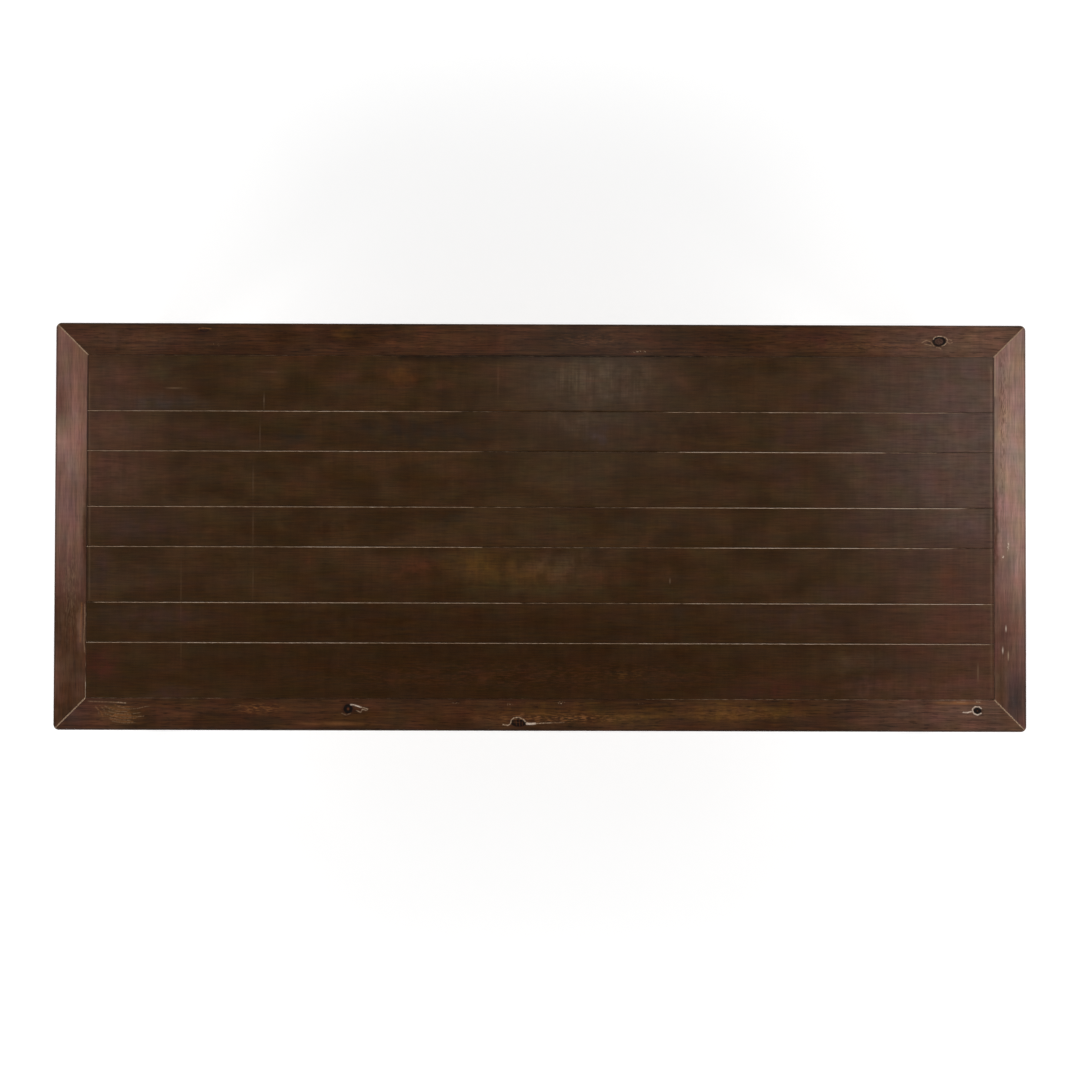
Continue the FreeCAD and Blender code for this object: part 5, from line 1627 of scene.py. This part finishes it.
def smooth(points: Sequence[Point], count: int) -> np.ndarray:
    """Points of a smooth curve through several points, straight at its ends.

    Args:
        points: the points.
        count: how many steps to take.

    Returns:
        The points in order, one row each.
    """
    known = np.array(points)
    step = np.hypot(*np.diff(known, axis=0).T)
    reach, slopes = np.concatenate([[0], np.cumsum(step)]), np.diff(known, axis=0) / step[:, None]
    matrix, right = np.eye(len(known)), np.zeros(known.shape)
    for n in range(1, len(known) - 1):
        matrix[n, n - 1 : n + 2] = step[n - 1], 2 * (step[n - 1] + step[n]), step[n]
        right[n] = 6 * (slopes[n] - slopes[n - 1])
    bend = np.linalg.solve(matrix, right)
    places = np.linspace(0, reach[-1], count + 1)
    at = np.minimum(np.searchsorted(reach, places, side="right") - 1, len(step) - 1)
    b = ((places - reach[at]) / step[at])[:, None]
    a = 1 - b
    curve = ((a**3 - a) * bend[at] + (b**3 - b) * bend[at + 1]) * step[at, None] ** 2 / 6
    return a * known[at] + b * known[at + 1] + curve


@dataclass
class TurnedLeg:
    """A turned leg with a square block at its top, drawn into the corner of the aprons by its flat."""

    dress: bpy.types.Material
    axis: Point = (1.117, 0.413)
    width: float = 0.100
    foot: float = 7 * MM
    block_bottom: float = 0.574
    block_top: float = 0.724
    flat_from: float = 0.619
    edge_radius: float = 3 * MM
    inner_flat: float = 18 * MM
    pommel: float = 26 * MM
    pommel_step: float = 2 * MM
    points_a_quarter: int = 22
    flat_points: int = 10

    turnings: tuple[tuple[Point, ...], ...] = (
        ((0.54, 0.0), (0.80, 0.098), (0.50, 0.206)),
        ((0.53, 0.214), (0.70, 0.232), (0.53, 0.250)),
        ((0.51, 0.258), (0.62, 0.350), (0.82, 0.520), (0.945, 0.680), (0.90, 0.775), (0.60, 0.852)),
        ((0.66, 0.858), (0.75, 0.873), (0.66, 0.888)),
        ((0.64, 0.894), (0.67, 0.918), (0.80, 0.934)),
        ((0.80, 0.942), (0.95, 0.964), (0.80, 0.986)),
    )
    neck: Point = (0.78, 0.986)

    def profile(self) -> list[tuple[float, float, float, float, bool]]:
        """The outline from the foot up.

        Returns:
            Radius, height, wear and grime of each point, and whether the inner corner is cut off flat there.
        """
        half, length, block = self.width / 2, self.block_bottom - self.foot, self.block_bottom
        made = [(0.30 * half, self.foot, 0.0, 0.0, False)]
        for shares in self.turnings:
            points = np.array(shares) * (half, length) + (0, self.foot)
            curve = arc(points, 14) if len(points) == 3 else smooth(points, 34)
            narrow, widest = curve[:, 0].min(), curve[:, 0].max()
            for n, (radius, height) in enumerate(curve):
                share = (radius - narrow) / (widest - narrow)
                rubbed = 0.36 * share**8 if len(points) == 3 and height > 0.1 else 0.0
                made.append((radius, height, rubbed, 0.8 if n in (0, len(curve) - 1) else 0.0, False))
        neck, neck_low = self.neck[0] * half, self.foot + self.neck[1] * length
        made += [(neck, height, 0.0, 0.8, False) for height in (neck_low, block - 0.2 * MM)]
        shoulder, step = block + self.pommel, self.pommel_step
        low, high = (half - step, block), (half * math.sqrt(2), shoulder)
        bulge = (low[0] + high[0]) / 2 + step, (low[1] + high[1]) / 2 - 2 * step
        for n, (radius, height) in enumerate(arc((low, bulge, high), 16)):
            made.append((radius, height, 0.35 if n > 1 else 0.5, 0.0, False))
        square, flat, top = self.width, self.flat_from, self.block_top
        made += [(square, height, 0.3, 0.0, False) for height in (shoulder + 2 * MM, shoulder + 9 * MM, flat)]
        made += [(square, height, 0.22, 0.0, True) for height in (flat + 0.4 * MM, 0.65, 0.685, top - 1 * MM)]
        return [*made, (square, top, 0.0, 0.5, True)]

    def outline(self, radius: float, cut: bool) -> np.ndarray:
        """One outline of the leg: a square with rounded corners, turned down to a radius.

        Args:
            radius: the radius that it is turned to.
            cut: whether its inner corner is cut off flat.

        Returns:
            The x and y of its points round the leg's axis, the outer corner between +X and +Y.
        """
        half, rounding, flats = self.width / 2, self.edge_radius, self.flat_points
        straight, rest = half - rounding, self.points_a_quarter - self.flat_points
        reach = math.sqrt(max(radius * radius - half * half, 0.0))
        corner = max(math.pi / 4 * flats / self.points_a_quarter, math.atan2(min(straight, reach), half))
        on_flat = corner * (2 * np.arange(flats) / flats - 1)
        on_corner = corner + (math.pi / 2 - 2 * corner) * np.arange(rest) / rest
        angle = np.concatenate([on_flat, on_corner])
        low, high = np.sort([np.cos(angle), np.sin(angle)], axis=0)
        middle = straight * (low + high)
        bowed = middle + np.sqrt(np.maximum(middle * middle - 2 * straight**2 + rounding**2, 0.0))
        reach = np.where(half / high * low > straight, bowed, half / high)
        reach = np.tile(np.minimum(reach, radius), 4)
        whole = (angle + np.arange(4)[:, None] * math.pi / 2).ravel()
        if cut:
            inward = np.maximum(-(np.cos(whole) + np.sin(whole)), 1e-9)
            reach = np.minimum(reach, (self.width - self.inner_flat) / inward)
        return np.stack([reach * np.cos(whole), reach * np.sin(whole)], axis=-1)

    def leg(self, end: int, side: int) -> bpy.types.Object:
        """Makes one leg.

        Args:
            end: 1 for the right end of the table, -1 for the left.
            side: 1 for the back, -1 for the front.

        Returns:
            The leg.
        """
        middle, draft = np.array([end * self.axis[0], side * self.axis[1]]), MeshDraft()
        for radius, height, wear, grime, cut in self.profile():
            outline = self.outline(radius, cut)
            rubbed = (np.hypot(*outline.T) > 1.28 * self.width / 2) | (radius <= self.width / 2)
            points = np.column_stack([outline * (end, side) + middle, np.full(len(outline), height)])
            draft.ring(points, np.where(rubbed, wear, 0.0), grime)
        draft.loft()
        number = 2 * (end > 0) + (side > 0)
        heart = middle[0] + 0.055 * end, middle[1] - 0.02 + 0.03 * number, 0.0
        corner = f"{'back' if side > 0 else 'front'}_{'right' if end > 0 else 'left'}"
        timber = Timber(Run.UPRIGHT, heart, 101.0 + 2.9 * number)
        return draft.made(f"turned_leg_{corner}", f"{corner}_leg", "base_wood", timber, self.dress)

    def build(self) -> list[bpy.types.Object]:
        """Makes the four legs."""
        return [self.leg(end, side) for side in (-1, 1) for end in (-1, 1)]


@dataclass
class Underside:
    """What holds the table together below the top, left as it is sawn, and its screws, bolts and glides."""

    lengthwise: tuple[str, ...] = ("back_cleat", "front_cleat")
    crosswise: tuple[str, ...] = (
        "batten_", "left_cleat", "right_cleat", "_cross_rail", "_corner_block", "mitre_tenons",
    )
    metal: tuple[str, ...] = ("_screws", "hanger_")
    nylon: tuple[str, ...] = ("_foot_glide",)

    def build(self) -> list[bpy.types.Object]:
        """Gives every solid that stays its finish.

        Returns:
            The solids that were dressed.
        """
        finishes = (
            (self.metal, ZincPlate()),
            (self.nylon, MouldedNylon()),
            (self.lengthwise, BarePine("pine_lengthwise", Run.ALONG_X)),
            (self.crosswise, BarePine("pine_crosswise", Run.ALONG_Y)),
        )
        dressed = {}
        for words, finish in finishes:
            material = finish.material()
            for name, node in sorted(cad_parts.items()):
                if name not in dressed and any(word in name for word in words):
                    dressed[name] = node
                    for slot in node.material_slots:
                        slot.material = material
        return list(dressed.values())


@dataclass(frozen=True)
class Lamp:
    """A soft light: where it hangs, the point that it faces, its width and height, and its watts."""

    name: str
    place: Sizes
    target: Sizes
    size: Point
    watts: float

    def hang(self) -> None:
        """Hangs the light."""
        data = bpy.data.lights.new(self.name, "AREA")
        data.shape = "RECTANGLE"
        data.size, data.size_y = self.size
        data.energy = self.watts
        made = linked(self.name, data)
        made.location = self.place
        made.rotation_euler = (Vector(self.target) - Vector(self.place)).to_track_quat("-Z", "Y").to_euler()
        made.visible_camera = False


# The point that the large soft lights face
TABLE_MIDDLE = (0.0, 0.0, 0.6)


@dataclass
class Studio:
    """The plain pale floor that curves up to a backdrop, the soft lights and the camera."""

    flat_radius: float = 12.0
    rim_radius: float = 16.0
    rim_height: float = 7.0
    floor_colour: float = 0.62
    near_glow: float = 0.58
    far_glow: float = 0.88
    steps_round: int = 96
    lamps: tuple[Lamp, ...] = (
        Lamp("softbox_front_left", (-3.6, -3.8, 4.0), TABLE_MIDDLE, (3.4, 2.4), 170),
        Lamp("softbox_front_right", (3.8, -3.4, 3.8), TABLE_MIDDLE, (3.4, 2.4), 150),
        Lamp("softbox_back_right", (3.6, 3.8, 4.2), TABLE_MIDDLE, (3.2, 2.4), 128),
        Lamp("softbox_back_left", (-3.8, 3.6, 4.0), TABLE_MIDDLE, (3.2, 2.4), 128),
        Lamp("gleam_middle", (0.16, 0.48, 2.0), (0.13, 0.36, TOP), (0.34, 0.10), 0.7),
        Lamp("gleam_right", (1.52, 0.20, 2.6), (1.25, 0.12, TOP), (0.25, 0.9), 1.4),
        Lamp("gleam_left", (-1.44, 0.34, 2.4), (-1.20, 0.26, TOP), (0.2, 0.5), 0.5),
    )

    def floor(self) -> None:
        """Makes the floor and its backdrop in one sheet."""
        curve, count = self.rim_radius - self.flat_radius, self.steps_round
        turns = [math.pi / 2 * n / 12 for n in range(1, 13)]
        profile = [(0.5, 0.0), (3.0, 0.0), (7.0, 0.0), (self.flat_radius, 0.0)]
        profile += [(self.flat_radius + curve * math.sin(t), curve * (1 - math.cos(t))) for t in turns]
        profile.append((self.rim_radius, self.rim_height))
        angles = [math.tau * n / count for n in range(count)]
        points = [(r * math.cos(a), r * math.sin(a), height) for r, height in profile for a in angles]
        faces = []
        for n, m in zip(range(count), [*range(1, count), 0]):
            faces.append((count * len(profile), n, m))
            for low in range(0, count * (len(profile) - 1), count):
                faces.append((low + n, low + count + n, low + count + m, low + m))
        mesh = bpy.data.meshes.new("studio_floor")
        mesh.from_pydata([*points, (0.0, 0.0, 0.0)], [], faces)
        mesh.shade_smooth()
        mesh.materials.append(self.floor_finish())
        linked("studio_floor", mesh)

    def floor_finish(self) -> bpy.types.Material:
        """The floor's pale matt paint, which glows a little for the camera and is clear from below.

        Returns:
            The material.
        """
        bench = Bench(bpy.data.materials.new("studio_floor"))
        path = bench.node("LightPath").outputs
        seen = bench.math("MAXIMUM", path["Is Camera Ray"], path["Is Glossy Ray"])
        seen = bench.math("MAXIMUM", seen, path["Is Transmission Ray"])
        level = bench.ramp(bench.length(bench.object_place()), 2.2, 9.0, self.near_glow, self.far_glow)
        glow = bench.node("Emission", {"Strength": bench.math("MULTIPLY", seen, level)})
        paint = bench.node("BsdfDiffuse", {"Color": (*(self.floor_colour,) * 3, 1)})
        lit = bench.node("AddShader", {0: paint.outputs[0], 1: glow.outputs[0]})
        below, clear = bench.node("NewGeometry").outputs["Backfacing"], bench.node("BsdfTransparent")
        choice = bench.node("MixShader", {0: below, 1: lit.outputs[0], 2: clear.outputs[0]})
        return bench.closed(choice.outputs[0])

    def world(self) -> None:
        """Lights the room from all round, least from straight above."""
        bench = Bench(bpy.data.worlds.new("studio"))
        up = bench.part(bench.node("TexCoord").outputs["Generated"], 2)
        sky = bench.node("Background", {"Strength": bench.ramp(up, 0.15, 0.85, 0.62, 0.05)})
        bpy.context.scene.world = bench.closed(sky.outputs[0])

    def camera(self) -> None:
        """Sets the camera where the photo was taken from."""
        data = bpy.data.cameras.new("camera")
        data.lens, data.sensor_width = VIEW.lens, VIEW.sensor
        data.clip_start, data.clip_end = 0.1, 100.0
        made = linked("camera", data)
        made.location, made.rotation_euler = VIEW.place, VIEW.tilt
        bpy.context.scene.camera = made

    def build(self) -> None:
        """Sets up the whole studio."""
        self.floor()
        for lamp in self.lamps:
            lamp.hang()
        self.world()
        self.camera()
        bpy.context.scene.view_settings.view_transform = "Standard"


def main() -> None:
    """Dresses the table from the top down and sets up the studio."""
    logging.basicConfig(level=logging.INFO, format="%(name)s %(message)s")
    base = StainedWood(
        "base_wood", Tone.RED_BROWN, Tone.DARK_RED_BROWN, rings_dark=0.2, broad_streaks=1.1, fine_streaks=1.0,
        saw_streaks=0.0, dashes=0.25, gloss=(0.33, 0.46),
    ).material()
    for part in (PlankField(), MitredFrame(), ApronFrame(base), TurnedLeg(base), Underside()):
        for piece in part.build():
            log.info("%s: %d faces", piece.name, len(piece.data.polygons))
    Studio().build()


if __name__ == "__main__":
    main()
